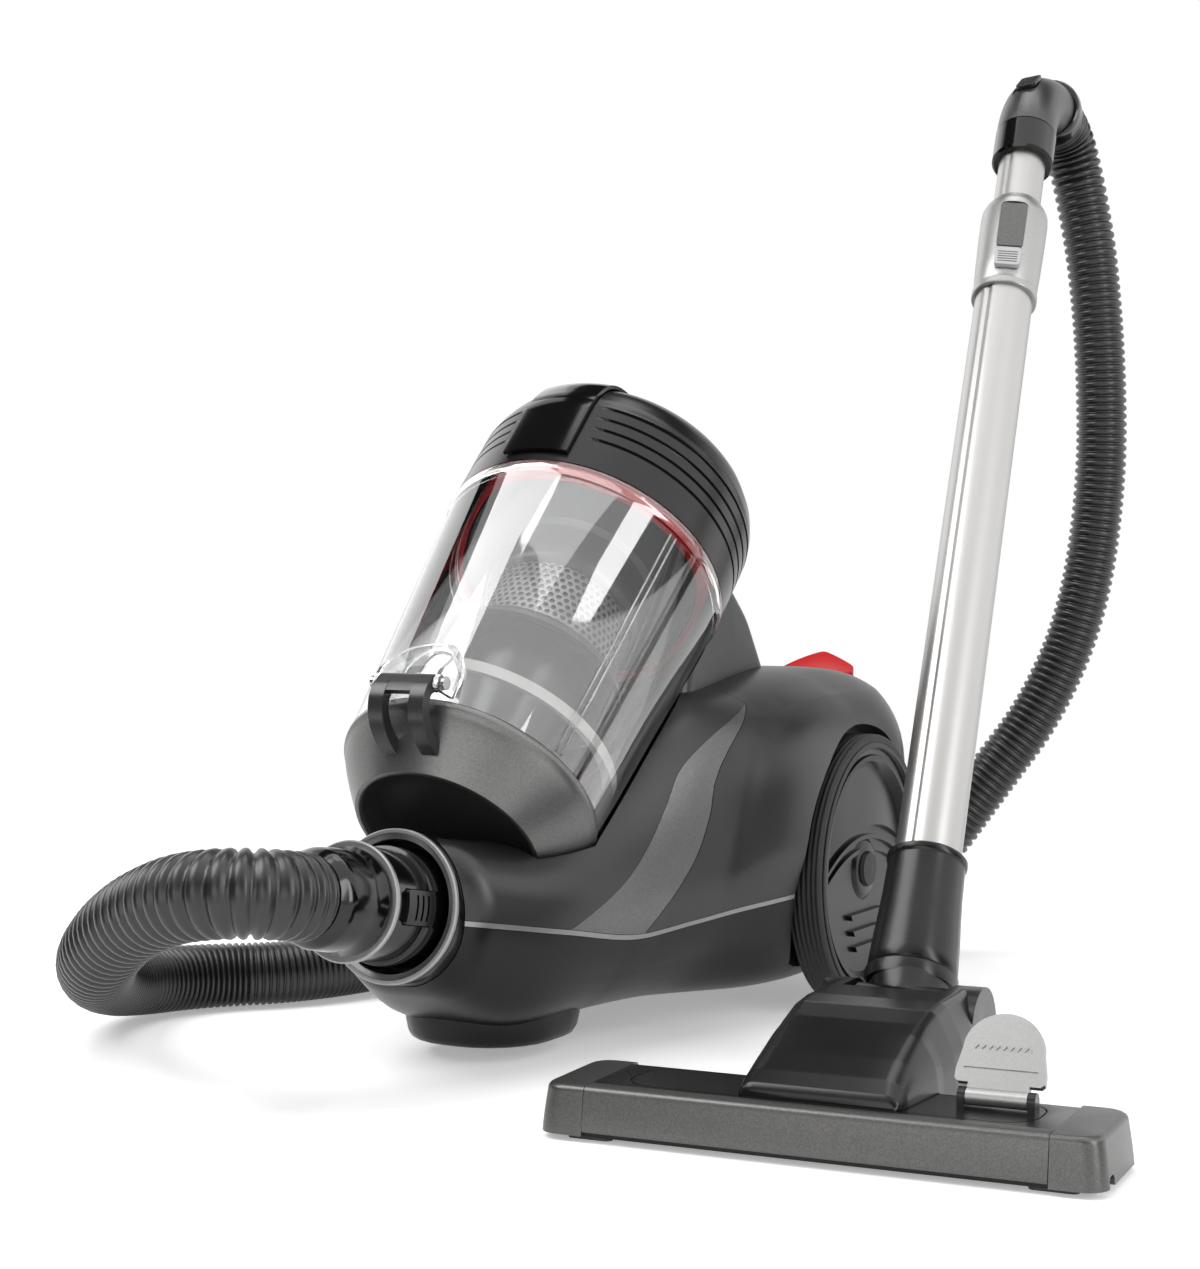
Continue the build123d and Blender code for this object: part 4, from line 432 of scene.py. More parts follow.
# %% [markdown]
# The camera stands in front and to the right, only a little above the floor, with a short
# telephoto lens. The stage is a pale floor that fades into a white surround: for camera, glossy
# and transmission rays the world is plain white, and for the light it gives it is softer, so the
# object keeps its contrast. A wide key comes from the upper left, a strip from the right draws
# the long highlights. Dark cards, and two pale curved ones round the cup's axis, are seen only
# in reflections: they give black plastic its depth and draw panels along the clear wall.

# %% Camera
camera_at = np.array((544.29, -1218.03, 259.67)) * MM
azimuth, elevation = math.radians(29.04), math.radians(1.32)
back = Vector(
    (math.sin(azimuth) * math.cos(elevation), -math.cos(azimuth) * math.cos(elevation), math.sin(elevation))
)
camera_data = bpy.data.cameras.new("camera")
camera_data.lens = 65.74
camera_data.sensor_width = 36
camera = bpy.data.objects.new("camera", camera_data)
camera.location = camera_at
camera.rotation_euler = back.to_track_quat("Z", "Y").to_euler()
collection.objects.link(camera)
scene.camera = camera
scene.view_settings.view_transform = "Standard"
print("camera at", [round(v, 4) for v in camera_at])

# %% Floor that keeps the shadow and fades out, and the white surround
floor_mesh = bpy.data.meshes.new("floor")
floor_mesh.from_pydata([(-4, -4, 0), (4, -4, 0), (4, 4, 0), (-4, 4, 0)], [], [(0, 1, 2, 3)])
floor = bpy.data.objects.new("floor", floor_mesh)
collection.objects.link(floor)
floor_paint = bpy.data.materials.new("floor_pale")
floor_paint.use_nodes = True
tree = floor_paint.node_tree
tree.nodes.clear()


def put(tree, kind, **values):
    """New node with some inputs set by name."""
    node = tree.nodes.new(kind)
    for label, value in values.items():
        node.inputs[label].default_value = value
    return node


def background_rays(tree):
    """1 for camera, glossy and transmission rays, otherwise 0."""
    rays = tree.nodes.new("ShaderNodeLightPath")
    first, second = (tree.nodes.new("ShaderNodeMath") for _ in range(2))
    first.operation = second.operation = "MAXIMUM"
    tree.links.new(rays.outputs["Is Camera Ray"], first.inputs[0])
    tree.links.new(rays.outputs["Is Glossy Ray"], first.inputs[1])
    tree.links.new(first.outputs["Value"], second.inputs[0])
    tree.links.new(rays.outputs["Is Transmission Ray"], second.inputs[1])
    return second.outputs["Value"]


FLOOR_GLOW = 0.34
diffuse = put(tree, "ShaderNodeBsdfDiffuse", Color=(0.90, 0.90, 0.90, 1))
glow = put(tree, "ShaderNodeEmission", Color=(1, 1, 1, 1), Strength=FLOOR_GLOW)
seen = background_rays(tree)
lift = tree.nodes.new("ShaderNodeMath")
lift.operation = "MULTIPLY"
lift.inputs[1].default_value = FLOOR_GLOW
tree.links.new(seen, lift.inputs[0])
tree.links.new(lift.outputs["Value"], glow.inputs["Strength"])
both = tree.nodes.new("ShaderNodeAddShader")
tree.links.new(diffuse.outputs["BSDF"], both.inputs[0])
tree.links.new(glow.outputs["Emission"], both.inputs[1])
place = tree.nodes.new("ShaderNodeTexCoord")
reach = tree.nodes.new("ShaderNodeVectorMath")
reach.operation = "LENGTH"
fade = put(tree, "ShaderNodeMapRange")
fade.inputs["From Min"].default_value = 0.75
fade.inputs["From Max"].default_value = 1.7
fade.interpolation_type = "SMOOTHSTEP"
tree.links.new(place.outputs["Object"], reach.inputs[0])
tree.links.new(reach.outputs["Value"], fade.inputs["Value"])
clear_floor = tree.nodes.new("ShaderNodeBsdfTransparent")
blend = tree.nodes.new("ShaderNodeMixShader")
tree.links.new(fade.outputs["Result"], blend.inputs["Fac"])
tree.links.new(both.outputs["Shader"], blend.inputs[1])
tree.links.new(clear_floor.outputs["BSDF"], blend.inputs[2])
sink = tree.nodes.new("ShaderNodeOutputMaterial")
tree.links.new(blend.outputs["Shader"], sink.inputs["Surface"])
floor_mesh.materials.append(floor_paint)

world = bpy.data.worlds.new("studio")
scene.world = world
world.use_nodes = True
tree = world.node_tree
tree.nodes.clear()
white = put(tree, "ShaderNodeBackground", Color=(1, 1, 1, 1), Strength=1.0)
soft = put(tree, "ShaderNodeBackground", Color=(1, 1, 1, 1), Strength=0.45)
mix = tree.nodes.new("ShaderNodeMixShader")
tree.links.new(background_rays(tree), mix.inputs["Fac"])
tree.links.new(soft.outputs["Background"], mix.inputs[1])
tree.links.new(white.outputs["Background"], mix.inputs[2])
sink = tree.nodes.new("ShaderNodeOutputWorld")
tree.links.new(mix.outputs["Shader"], sink.inputs["Surface"])
print("floor and surround ready")


# %% Lights and dark cards
def area_light(name, at, aim, size, power):
    """Rectangular soft light at a point (m), turned to face another."""
    data = bpy.data.lights.new(name, "AREA")
    data.shape = "RECTANGLE"
    data.size, data.size_y = size
    data.energy = power
    lamp = bpy.data.objects.new(name, data)
    lamp.location = at
    lamp.rotation_euler = (Vector(at) - Vector(aim)).to_track_quat("Z", "Y").to_euler()
    collection.objects.link(lamp)
    return lamp


def dark_card(name, at, aim, size):
    """Black card that only reflections see; it stands on the stage, apart from the object."""
    half_w, half_h = size[0] / 2, size[1] / 2
    mesh = bpy.data.meshes.new(name)
    corners = [(-half_w, -half_h, 0), (half_w, -half_h, 0), (half_w, half_h, 0), (-half_w, half_h, 0)]
    mesh.from_pydata(corners, [], [(0, 1, 2, 3)])
    card = bpy.data.objects.new(name, mesh)
    card.location = at
    card.rotation_euler = (Vector(at) - Vector(aim)).to_track_quat("Z", "Y").to_euler()
    card.visible_camera = card.visible_diffuse = card.visible_transmission = card.visible_shadow = False
    mesh.materials.append(card_black)
    collection.objects.link(card)
    return card


def soft_box(name, turn_low, turn_high, spread_low, spread_high, strength, radius=2.2):
    """Curved diffuser seen only by reflections, laid round the cup's own leaning axis so that its
    edges fall straight along the clear wall. Direction = cos s axis + sin s (cos t x + sin t y)."""
    t = np.radians(np.linspace(turn_low, turn_high, 33))[:, None]
    s = np.radians(np.linspace(spread_low, spread_high, 13))[None, :]
    local = np.stack([np.sin(s) * np.cos(t), np.sin(s) * np.sin(t), np.cos(s) + 0 * t], -1)
    verts = cup(local * radius / MM).reshape(-1, 3)
    mesh = bpy.data.meshes.new(name)
    mesh.from_pydata(verts.tolist(), [], grid_faces(33, 13))
    paint_box = bpy.data.materials.new(name)
    paint_box.use_nodes = True
    paint_box.node_tree.nodes.clear()
    light = put(paint_box.node_tree, "ShaderNodeEmission", Color=(1, 1, 1, 1), Strength=strength)
    sink = paint_box.node_tree.nodes.new("ShaderNodeOutputMaterial")
    paint_box.node_tree.links.new(light.outputs["Emission"], sink.inputs["Surface"])
    mesh.materials.append(paint_box)
    box = bpy.data.objects.new(name, mesh)
    box.visible_camera = box.visible_diffuse = box.visible_transmission = box.visible_shadow = False
    collection.objects.link(box)
    return box


card_black = bpy.data.materials.new("card_black")
card_black.use_nodes = True
card_black.node_tree.nodes["Principled BSDF"].inputs["Base Color"].default_value = (0.01, 0.01, 0.01, 1)
card_black.node_tree.nodes["Principled BSDF"].inputs["Roughness"].default_value = 1.0
aim = (0.0, 0.0, 0.25)
area_light("key", (-1.2, -1.0, 2.0), aim, (1.5, 1.5), 36)
area_light("strip_right", (1.9, -0.5, 1.0), aim, (0.45, 1.8), 16)
area_light("fill_front", (0.2, -2.4, 0.6), aim, (2.0, 0.8), 7)
area_light("top", (0.1, 0.4, 2.4), aim, (1.4, 1.4), 18)
dark_card("card_right", (2.4, 0.9, 0.9), aim, (2.4, 2.6))
dark_card("card_left", (-2.2, -1.6, 0.8), aim, (1.6, 2.6))
dark_card("card_low_left", (-1.1, -2.3, 0.7), aim, (1.0, 2.2))
dark_card("card_front", (1.3, -2.2, 1.5), aim, (1.6, 1.4))
dark_card("card_above", (-1.2, 0.1, 2.2), aim, (0.9, 2.6))
dark_card("card_over", (0.0, 1.5, 2.9), aim, (3.4, 2.4))
soft_box("box_top_right", -104, 50, 34, 72, 1.6)
soft_box("box_left", -205, -162, 30, 78, 1.7)

# %% [markdown]
# The stretch hose is the object's cord. Its centre line is a NURBS curve through the same corners
# as the CAD tube, turned into points by Blender, and a corrugated skin is wrapped round those
# points with a frame that never twists. The ribs are a row of rounded crests; they open up where
# the hose is stretched round its front bend and close up on the floor.

# %% Corrugated stretch hose
hose_corners = [
    (0, -268, 108.2), (-12, -283, 110), (-31, -288, 109), (-62, -280, 103), (-108, -259, 86),
    (-156, -226, 60), (-202, -172, 38), (-232, -112, 22), (-222, -60, 19.5), (-178, -20, 19.5),
    (-158, 40, 19.5), (-154, 112, 20), (-156, 200, 19.5), (-135, 282, 19.5), (-70, 320, 19.5),
    (20, 330, 22), (92, 346, 62), (132, 360, 122), (166, 374, 172), (192, 383, 238),
    (203, 388, 325), (203, 386, 405), (197, 385, 478), (189.5, 383, 522), (185, 379, 547),
    (182.6, 372, 560),
]
elbow_start, elbow_bend, cuff_top = 480.0, 60.0, 478.0
grip_axis = unit((0, 0.98, -0.2))
elbow_turn = math.acos(float(np.dot(wand.z, grip_axis)))
elbow_tangent = elbow_bend * math.tan(elbow_turn / 2)
elbow_corner = wand.o + wand.z * (elbow_start + elbow_tangent)
grip_end = elbow_corner + grip_axis * (elbow_tangent + 0.7)
hose_end = grip_end + grip_axis * 7.0
hose_start = inlet.o + inlet.z * 74.0


def spline_points(name, corners, resolution=48):
    """Points of a quadratic NURBS curve through its end corners, in metres."""
    curve = bpy.data.curves.new(name, "CURVE")
    curve.dimensions = "3D"
    curve.resolution_u = resolution
    line = curve.splines.new("NURBS")
    line.points.add(len(corners) - 1)
    for point, corner in zip(line.points, corners):
        point.co = (*[float(v) for v in corner], 1)
    line.order_u = 3
    line.use_endpoint_u = True
    helper = bpy.data.objects.new(name, curve)
    collection.objects.link(helper)
    bpy.context.view_layer.update()
    mesh = bpy.data.meshes.new_from_object(helper.evaluated_get(bpy.context.evaluated_depsgraph_get()))
    points = np.array([v.co for v in mesh.vertices])
    bpy.data.objects.remove(helper)
    bpy.data.curves.remove(curve)
    bpy.data.meshes.remove(mesh)
    keep = np.r_[True, np.linalg.norm(np.diff(points, axis=0), axis=1) > 1e-6]
    return points[keep]


def arc_length(points):
    """Length along the line up to each point, as a running sum of the steps."""
    return np.r_[0, np.cumsum(np.linalg.norm(np.diff(points, axis=0), axis=1))]


def at_length(points, s):
    """Points on the line at the given lengths along it."""
    total = arc_length(points)
    return np.stack([np.interp(s, total, points[:, k]) for k in range(3)], 1)


def carried_frames(points, first):
    """Two unit vectors square to the line at each point, carried along without twist."""
    ahead = np.gradient(points, axis=0)
    ahead /= np.linalg.norm(ahead, axis=1)[:, None]
    side = unit(first - np.dot(first, ahead[0]) * ahead[0])
    sides = [side]
    for a in ahead[1:]:
        side = unit(side - np.dot(side, a) * a)
        sides.append(side)
    sides = np.array(sides)
    return sides, np.cross(ahead, sides)


corners = [hose_start] + [np.add(p, (-130, -49, 0)) for p in hose_corners]
corners += [hose_end + grip_axis * 13, hose_end]
hose_line = spline_points("hose_line", np.array(corners) * MM)
hose_length = arc_length(hose_line)[-1]

# length along the hose (share), rib pitch and crest radius in mm, depth of the valleys
stretch = np.array(
    [
        (0.00, 6.0, 22.0, 2.4), (0.05, 8.5, 22.2, 3.2), (0.15, 8.5, 21.8, 3.2), (0.22, 5.0, 20.0, 2.2),
        (0.30, 3.4, 18.8, 1.4), (0.50, 4.0, 18.5, 1.6), (0.62, 5.2, 18.0, 2.0), (0.75, 5.2, 17.2, 2.0),
        (0.90, 5.4, 17.0, 2.0), (0.965, 6.4, 17.6, 2.3), (1.00, 4.6, 18.2, 1.8),
    ]
)
steps = np.linspace(0, 1, 4000)
pitch = np.interp(steps, stretch[:, 0], stretch[:, 1])
ribs = np.r_[0, np.cumsum(0.5 * (1 / pitch[1:] + 1 / pitch[:-1])) * (steps[1] - steps[0])] * hose_length / MM
rib_count = int(ribs[-1])
ROWS_PER_RIB, HOSE_COLUMNS = 8, 26
phase = np.linspace(0, rib_count, rib_count * ROWS_PER_RIB + 1)
share = np.interp(phase, ribs * rib_count / ribs[-1], steps)
centre = at_length(hose_line, share * hose_length)
crest = np.interp(share, stretch[:, 0], stretch[:, 2])
valley = np.interp(share, stretch[:, 0], stretch[:, 3])
radius = (crest - valley * (0.5 + 0.5 * np.cos(2 * np.pi * phase)) ** 2) * MM
sides, overs = carried_frames(centre, np.array((0.0, 0.0, 1.0)))
angles = np.linspace(0, 2 * np.pi, HOSE_COLUMNS, endpoint=False)
skin = centre[:, None] + radius[:, None, None] * (
    np.cos(angles)[None, :, None] * sides[:, None] + np.sin(angles)[None, :, None] * overs[:, None]
)
hose = tube_grid("corrugated_hose", skin, smooth=80)
paint(hose, "hose_black")
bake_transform(hose)
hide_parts("stretch_hose")
print("hose", round(float(hose_length), 3), "m,", rib_count, "ribs,", len(hose.data.polygons), "faces")

# %% [markdown]
# The canister's housings are one smooth form, parted by curves drawn in its side view. The form
# is a stack of closed sections: four edges a side (keel, belt line, shoulder and top) run along
# the body on smooth curves, each corner is rounded with a quadratic arc, and the ends draw in on
# a quarter circle. Walls come from the same form drawn in by 3 mm.

# %% Hull form, regions and walls
WALL, GAP, BAND = 3.0, 0.3, 3.0
stations = [
    (-172, (30, 50), (47, 84), (46, 108), (26, 128)),
    (-120, (46, 22), (67, 74), (66, 100), (44, 122)),
    (-55, (48, 18), (84, 66), (80, 110), (62, 140)),
    (10, (62, 18), (104, 70), (97, 150), (72, 186)),
    (75, (104, 18), (124, 75), (118, 165), (78, 198)),
    (150, (108, 18), (126, 80), (121, 174), (84, 206)),
    (225, (98, 26), (120, 80), (114, 172), (90, 200)),
    (250, (88, 36), (112, 82), (110, 156), (82, 194)),
    (266, (70, 52), (100, 84), (98, 140), (70, 182)),
]
station_y = np.array([s[0] for s in stations], float)
station_edges = np.array([s[1:] for s in stations], float)


def edges_at(y):
    """Half width and height of the four edges at stations y, on smooth cubic curves."""
    y = np.clip(y, station_y[0], station_y[-1])
    h = np.diff(station_y)
    k = np.clip(np.searchsorted(station_y, y, side="right") - 1, 0, len(h) - 1)
    u = ((y - station_y[k]) / h[k])[:, None, None]
    slope = np.diff(station_edges, axis=0) / h[:, None, None]
    inner = (slope[:-1] * h[1:, None, None] + slope[1:] * h[:-1, None, None]) / (h[1:] + h[:-1])[:, None,
        None]
    tangent = np.concatenate([slope[:1], inner, slope[-1:]])
    a, b = station_edges[k], station_edges[k + 1]
    ta, tb = tangent[k] * h[k][:, None, None], tangent[k + 1] * h[k][:, None, None]
    ends = a * (2 * u**3 - 3 * u**2 + 1) + b * (3 * u**2 - 2 * u**3)
    return ends + ta * (u**3 - 2 * u**2 + u) + tb * (u**3 - u**2)


def rounded_section(corners, radii, steps=7, bulge=0.0):
    """Closed outlines (rows, points, 2) from corner rows; each corner turns on a quadratic arc."""
    ahead = np.roll(corners, -1, axis=1) - corners
    reach = np.linalg.norm(ahead, axis=2)
    back_reach = np.roll(reach, 1, axis=1)
    cut = np.minimum(radii[None, :], 0.48 * np.minimum(reach, back_reach))[..., None]
    towards = ahead / reach[..., None]
    start = corners - np.roll(towards, 1, axis=1) * cut
    end = corners + towards * cut
    t = np.linspace(0, 1, steps)[None, None, :, None]
    arcs = start[:, :, None] * (1 - t) ** 2 + 2 * corners[:, :, None] * t * (1 - t) + end[:, :, None] * t**2
    following = np.roll(start, -1, axis=1)
    u = np.linspace(0, 1, 6)[1:-1][None, None, :, None]
    outward_of = np.stack([towards[..., 1], -towards[..., 0]], -1)[:, :, None]
    lines = end[:, :, None] * (1 - u) + following[:, :, None] * u
    lines = lines + outward_of * (bulge * 4 * u * (1 - u)) * reach[:, :, None, None]
    return np.concatenate([arcs, lines], axis=2).reshape(corners.shape[0], -1, 2)


crease_line = np.array([(0, 60), (0, 76), (19, 107), (26, 131), (41, 159), (66, 177), (120, 193),
    (180, 200)], float)


def flare(rows):
    """Fender over the wheel: a point goes out sideways by 6 (1 - (1 - t)^2) mm, where t grows from
    0 to 1 over 34 mm behind the crease; it fades out at the belt line and under the pedals."""
    x, y, z = rows[..., 0], rows[..., 1], rows[..., 2]
    t = np.clip((y - np.interp(z, crease_line[:, 1], crease_line[:, 0])) / 34.0, 0, 1)
    fade = np.clip((z - 78) / 26.0, 0, 1) * np.clip((204 - z) / 14.0, 0,
        1) * np.clip((np.abs(x) - 55) / 20.0, 0, 1)
    fade = fade * np.clip((262 - y) / 30.0, 0, 1)
    out = rows.copy()
    out[..., 0] += np.sign(x) * 6.0 * (1 - (1 - t) ** 2) * fade
    return out


def hull_form(name, inset=0.0, end_radius=14.0):
    """Closed smooth body: rounded sections along Y, drawn in on a quarter circle at both ends."""
    first, last = station_y[0] + inset, station_y[-1] - inset
    quarter = end_radius * (1 - np.cos(np.linspace(0, np.pi / 2, 7)))
    y = np.concatenate([first + quarter, np.linspace(first + end_radius, last - end_radius, 180)[1:-1],
        last - quarter[::-1]])
    near = np.minimum(y - first, last - y)
    draw = end_radius - np.sqrt(np.clip(end_radius**2 - np.clip(end_radius - near, 0, None) ** 2, 0, None))
    half = edges_at(y)
    drop = np.array([(1, 1), (1, 0), (1, -0.5), (1, -1)]) * np.array((-1, 1))
    half = half + drop * (inset + draw)[:, None, None]
    mirror = half[:, ::-1] * np.array((-1, 1))
    corners = np.concatenate([half, mirror], axis=1)
    radii = np.array([30, 26, 34, 30, 30, 34, 26, 30], float)
    outline = rounded_section(corners, radii)
    rows = np.stack([outline[..., 0], np.repeat(y[:, None], outline.shape[1], 1), outline[..., 1]], -1)
    return tube_grid(name, can(flare(rows)), smooth=30)


def side_place(offset):
    """Frame of a canister side view: x to the rear, y up, z across."""
    return Place((-130 + offset, -49, 0), (0, 1, 0), (1, 0, 0))


def side_prism(name, outline, low_x, high_x, smooth=30):
    """Outline in the canister's side view, carried across it."""
    return prism(name, side_place(0), outline, low_x, high_x, smooth)


seam_line = [(-220, 90), (-175, 84), (-112, 73), (-57, 64), (-11, 67), (37, 72), (88, 76), (160, 78),
    (300, 78)]
trim_front = [(-150, 58), (-107, 77), (-69, 95), (-46, 113), (-26, 135), (-8, 155), (22, 172), (64, 187)]
trim_rear = [(-58, 58), (-49, 68), (-29, 87), (-11.5, 106), (0, 126), (9.5, 146.5), (30, 166), (66, 187.5)]


def below_seam(name, drop):
    """Everything under the belt line, lowered by drop."""
    line = smooth_curve(seam_line, 120) - np.array((0, drop))
    return side_prism(name, np.vstack([line, [(300, -20), (-220, -20)]]), -160, 160)


def wells(grow):
    """Room for both rear wheels."""
    rooms = []
    for side in (-1, 1):
        axle = Place((-130, 104.4, 82.9), (0, side, 0), (side, 0, 0))
        reach = 88.9 + grow
        rooms.append(revolve("well", axle, [(0, 108.5 - grow), (reach, 108.5 - grow), (reach, 175),
            (0, 175)], 128))
    return rooms


def cup_room(grow):
    """Room for the dust cup, along the whole of its way out."""
    free, top = 1.5 + grow, 300.0
    return revolve(
        "cup_room", cup,
        [(0, -208.4 - free), (53.1 + free, -208.4 - free), (73.65 + free, -177.4 - free),
            (73.65 + free, -174.1), (85.9 + free, -1),
         (86.5 + free, 0), (86.5 + free, top), (0, top)],
        128,
    )


cup_side = Place((-130, -24.2, 267.2), cup.y, cup.x)


def hinge_room(grow):
    """Room for the door's hinge in front of the cup."""
    free = 1.5 + grow
    outline = [(-60, -206.1 - free), (-87.65, -196.1 - free), (-93.65 - free, -184.1),
        (-93.65 - free, 40), (-60, 40)]
    return prism("hinge_room", cup_side, outline, -23 - free, 23 + free)


def inlet_room(grow):
    """Bore for the hose inlet in the nose."""
    return revolve("inlet_room", inlet, [(0, -34 - grow), (40.7 + grow, -34 - grow), (40.7 + grow, 60),
        (0, 60)], 96)


def spine_block(name, inset, half=60.0):
    """Block behind the cup. Its outline draws in towards a centre by soft - sqrt(soft^2 - e^2),
    where e is how far a station lies within soft of the block's side."""
    outline = np.array([(10, 110), (60, 246), (100, 262), (128, 240), (146, 216), (160, 196), (170, 150),
        (170, 110)], float)
    centre = np.array((105.0, 170.0))
    ring = smooth_corner_outline(outline, 9.0)
    soft = 9.0
    ease = soft * (1 - np.cos(np.linspace(0, np.pi / 2, 6)))
    x = np.r_[ease - half, half - ease[::-1]]
    draw = soft - np.sqrt(np.clip(soft**2 - np.clip(soft - half + np.abs(x), 0, None) ** 2, 0, None))
    reach = np.linalg.norm(ring - centre, axis=1)
    shape = centre + (ring - centre) * (1 - (draw[:, None] + inset) / reach)[..., None]
    across = np.repeat((x * (half - inset) / half)[:, None, None], len(ring), 1)
    rows = np.concatenate([across, shape], -1)
    return tube_grid(name, can(rows), smooth=30)


def smooth_corner_outline(outline, radius, steps=6):
    """Closed outline with every corner turned on a quadratic arc."""
    corners = np.asarray(outline, float)[None]
    return rounded_section(corners, np.full(corners.shape[1], radius), steps)[0]


def housing(name, inset):
    """Hull and spine together, without the wells, the cup's room and the inlet's bore."""
    form = hull_form(name, inset)
    combine(form, "UNION", spine_block("spine", inset))
    return combine(form, "DIFFERENCE", *wells(inset), cup_room(inset), hinge_room(inset), inlet_room(inset))


shell = combine(housing("shell", 0.0), "DIFFERENCE", housing("hollow", WALL))
finish_shading(shell, 30)
print("shell faces", len(shell.data.polygons))

# %% [markdown]
# The mouldings are the shell cut along the side-view curves: the dark base, the light trim line,
# the front housing with its cradle, the two sweeping side strips and the rear hood. The parts of
# the real hull meet in narrow gaps, so each tool is drawn in by the gap. A shallow tray under the
# nose, a stack of growing rounded outlines, holds the caster.

# %% Base, trim line, front housing, side strips and rear hood
def cut_copy(name, operation, tool):
    """Copy of the shell, cut by one tool."""
    return combine(copy_of(shell, name), operation, tool)


def strip_outline(gap):
    """Side strip between its front and rear curves, narrower by the gap."""
    front = smooth_curve(trim_front, 60) + np.array((gap, 0))
    rear = smooth_curve(trim_rear, 60) - np.array((gap, 0))
    return np.vstack([front, rear[::-1]])


def strip_tool(side, gap):
    """Room of one grey strip and a gap, less the room of the cup."""
    low_x, high_x = (60 + gap, 160) if side > 0 else (-160, -60 - gap)
    return combine(side_prism("strip", strip_outline(gap), low_x, high_x), "DIFFERENCE",
        cup_room(WALL + 1 + gap))


def hood_tool(gap):
    """Everything behind the strips: two side prisms joined by a middle one."""
    rear = smooth_curve(trim_rear, 60) + np.array((gap, 0))
    sides = np.vstack([rear, [(56, 260), (320, 260), (320, 20), (-76 + gap, 20)]])
    tool = side_prism("hood_side", sides, 60 + gap, 170)
    combine(tool, "UNION", side_prism("hood_side", sides, -170, -60 - gap))
    middle = np.array([(170 + gap, 20), (170 + gap, 260), (320, 260), (320, 20)])
    return combine(tool, "UNION", side_prism("hood_middle", middle, -61, 61))


def boss_room():
    """Room round both axle bosses."""
    rooms = []
    for side in (-1, 1):
        axle = Place((-130, 104.4, 82.9), (0, side, 0), (side, 0, 0))
        rooms.append(revolve("boss_room", axle, [(0, 60), (15, 60), (15, 125), (0, 125)], 48))
    return rooms


base = cut_copy("chassis_shell", "INTERSECT", below_seam("low", GAP))
tray_levels = np.array([9, 10, 13, 20, 40.0])
tray_growth = np.array([0.88, 0.92, 0.96, 0.99, 1.0])
tray_plan = tray_growth[:, None, None] * rounded_box(90, 98, 40) + (0, -77)
tray_rings = np.concatenate([tray_plan, np.repeat(tray_levels[:, None, None], tray_plan.shape[1], 1)], -1)
tray = tube_grid("tray", can(tray_rings), smooth=30)
caster_axis = Place((-130, -107, 0), (1, 0, 0), (0, 0, 1))
combine(tray, "DIFFERENCE", revolve("caster_pocket", caster_axis,
    [(0, 0), (24.5, 0), (24.5, 40), (0, 40)], 64))
combine(base, "UNION", tray)
band = cut_copy("belt_trim", "INTERSECT", below_seam("low", GAP - BAND))
combine(band, "DIFFERENCE", below_seam("low", 0.0), *boss_room())
upper = combine(copy_of(shell, "upper"), "DIFFERENCE", below_seam("low", -BAND))
hood = combine(copy_of(upper, "hood_shell"), "INTERSECT", hood_tool(GAP))
combine(hood, "DIFFERENCE", *boss_room())
strips = [combine(copy_of(upper, f"side_strip_{n}"), "INTERSECT", strip_tool(s, GAP)) for n,
    s in (("right", 1), ("left", -1))]
front = copy_of(upper, "front_shell")
combine(front, "DIFFERENCE", hood_tool(0.0), strip_tool(1, 0.0), strip_tool(-1, 0.0))
bpy.data.objects.remove(upper)
bpy.data.objects.remove(shell)
for piece, finish, slot_name, node in (
    (base, "base_black", "base_dark", "chassis_base"),
    (band, "silver_trim", "silver_trim", "seam_trim"),
    (hood, "hull_black", "shell_grey", "rear_hood"),
    (strips[0], "strip_grey", "gloss_black", "side_trim_right"),
    (strips[1], "strip_grey", "gloss_black", "side_trim_left"),
    (front, "hull_black", "shell_grey", "front_housing"),
):
    finish_shading(piece, 30)
    paint(piece, finish)
    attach(piece, "canister")
    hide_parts(node)
print("mouldings", [(p.name, len(p.data.polygons)) for p in (base, band, hood, *strips, front)])

# %% [markdown]
# The dust cup is a stack of turned shapes on its leaning axis. The real wall is one thin moulding
# in clear plastic that tapers to its foot and ends in a rolled lip. It could be a solid that only
# looks like glass, but light has to pass both walls, so it is a closed shell with a true thickness.

# %% Clear wall and its moulded ribs
RIM, FOOT, LENGTH = 85.9, 73.65, 174.1
WALL_THICKNESS = 2.2


def wall_radius(level):
    """Outer radius of the wall: straight taper from the rim to the foot."""
    return FOOT + (RIM - FOOT) * (1 + level / LENGTH)


clear = revolve(
    "clear_wall", cup,
    [
        (FOOT, -LENGTH), (wall_radius(-9), -9), (RIM + 0.4, -6.5), (RIM + 0.9, -5), (RIM + 0.9, -1.4),
        (RIM + 0.3, -0.5), (RIM - 2.5, -0.3), (RIM - 2.5, -4), (wall_radius(-9) - WALL_THICKNESS, -9),
        (FOOT - WALL_THICKNESS, -LENGTH), (FOOT, -LENGTH),
    ],
    240, 25,
)
paint(clear, "clear_cup")
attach(clear, "dust_cup")
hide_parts("dust_cup")


def wall_rib(angle):
    """Fine moulded rib down the outside of the clear wall, along its taper, at one angle."""
    turn = math.radians(angle)
    out = cup.x * math.cos(turn) + cup.y * math.sin(turn)
    view = Place(cup.o, out, np.cross(cup.z, out))
    foot, top = wall_radius(-LENGTH + 2) + 0.03, wall_radius(-12) + 0.03
    down = cup.z @ view.y
    levels = down * (2 - LENGTH), down * -12
    outline = [(foot, levels[0]), (foot + 0.9, levels[0]), (top + 0.9, levels[1]), (top, levels[1])]
    rib = prism("wall_rib", view, outline, -0.45, 0.45)
    soften(rib, 0.3, 2, 50)
    paint(rib, "clear_cup")
    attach(rib, "dust_cup")
    return rib


wall_ribs = [wall_rib(angle) for angle in (-26.4, -23.6)]
print("clear wall", len(clear.data.polygons), "faces, ribs", len(wall_ribs))

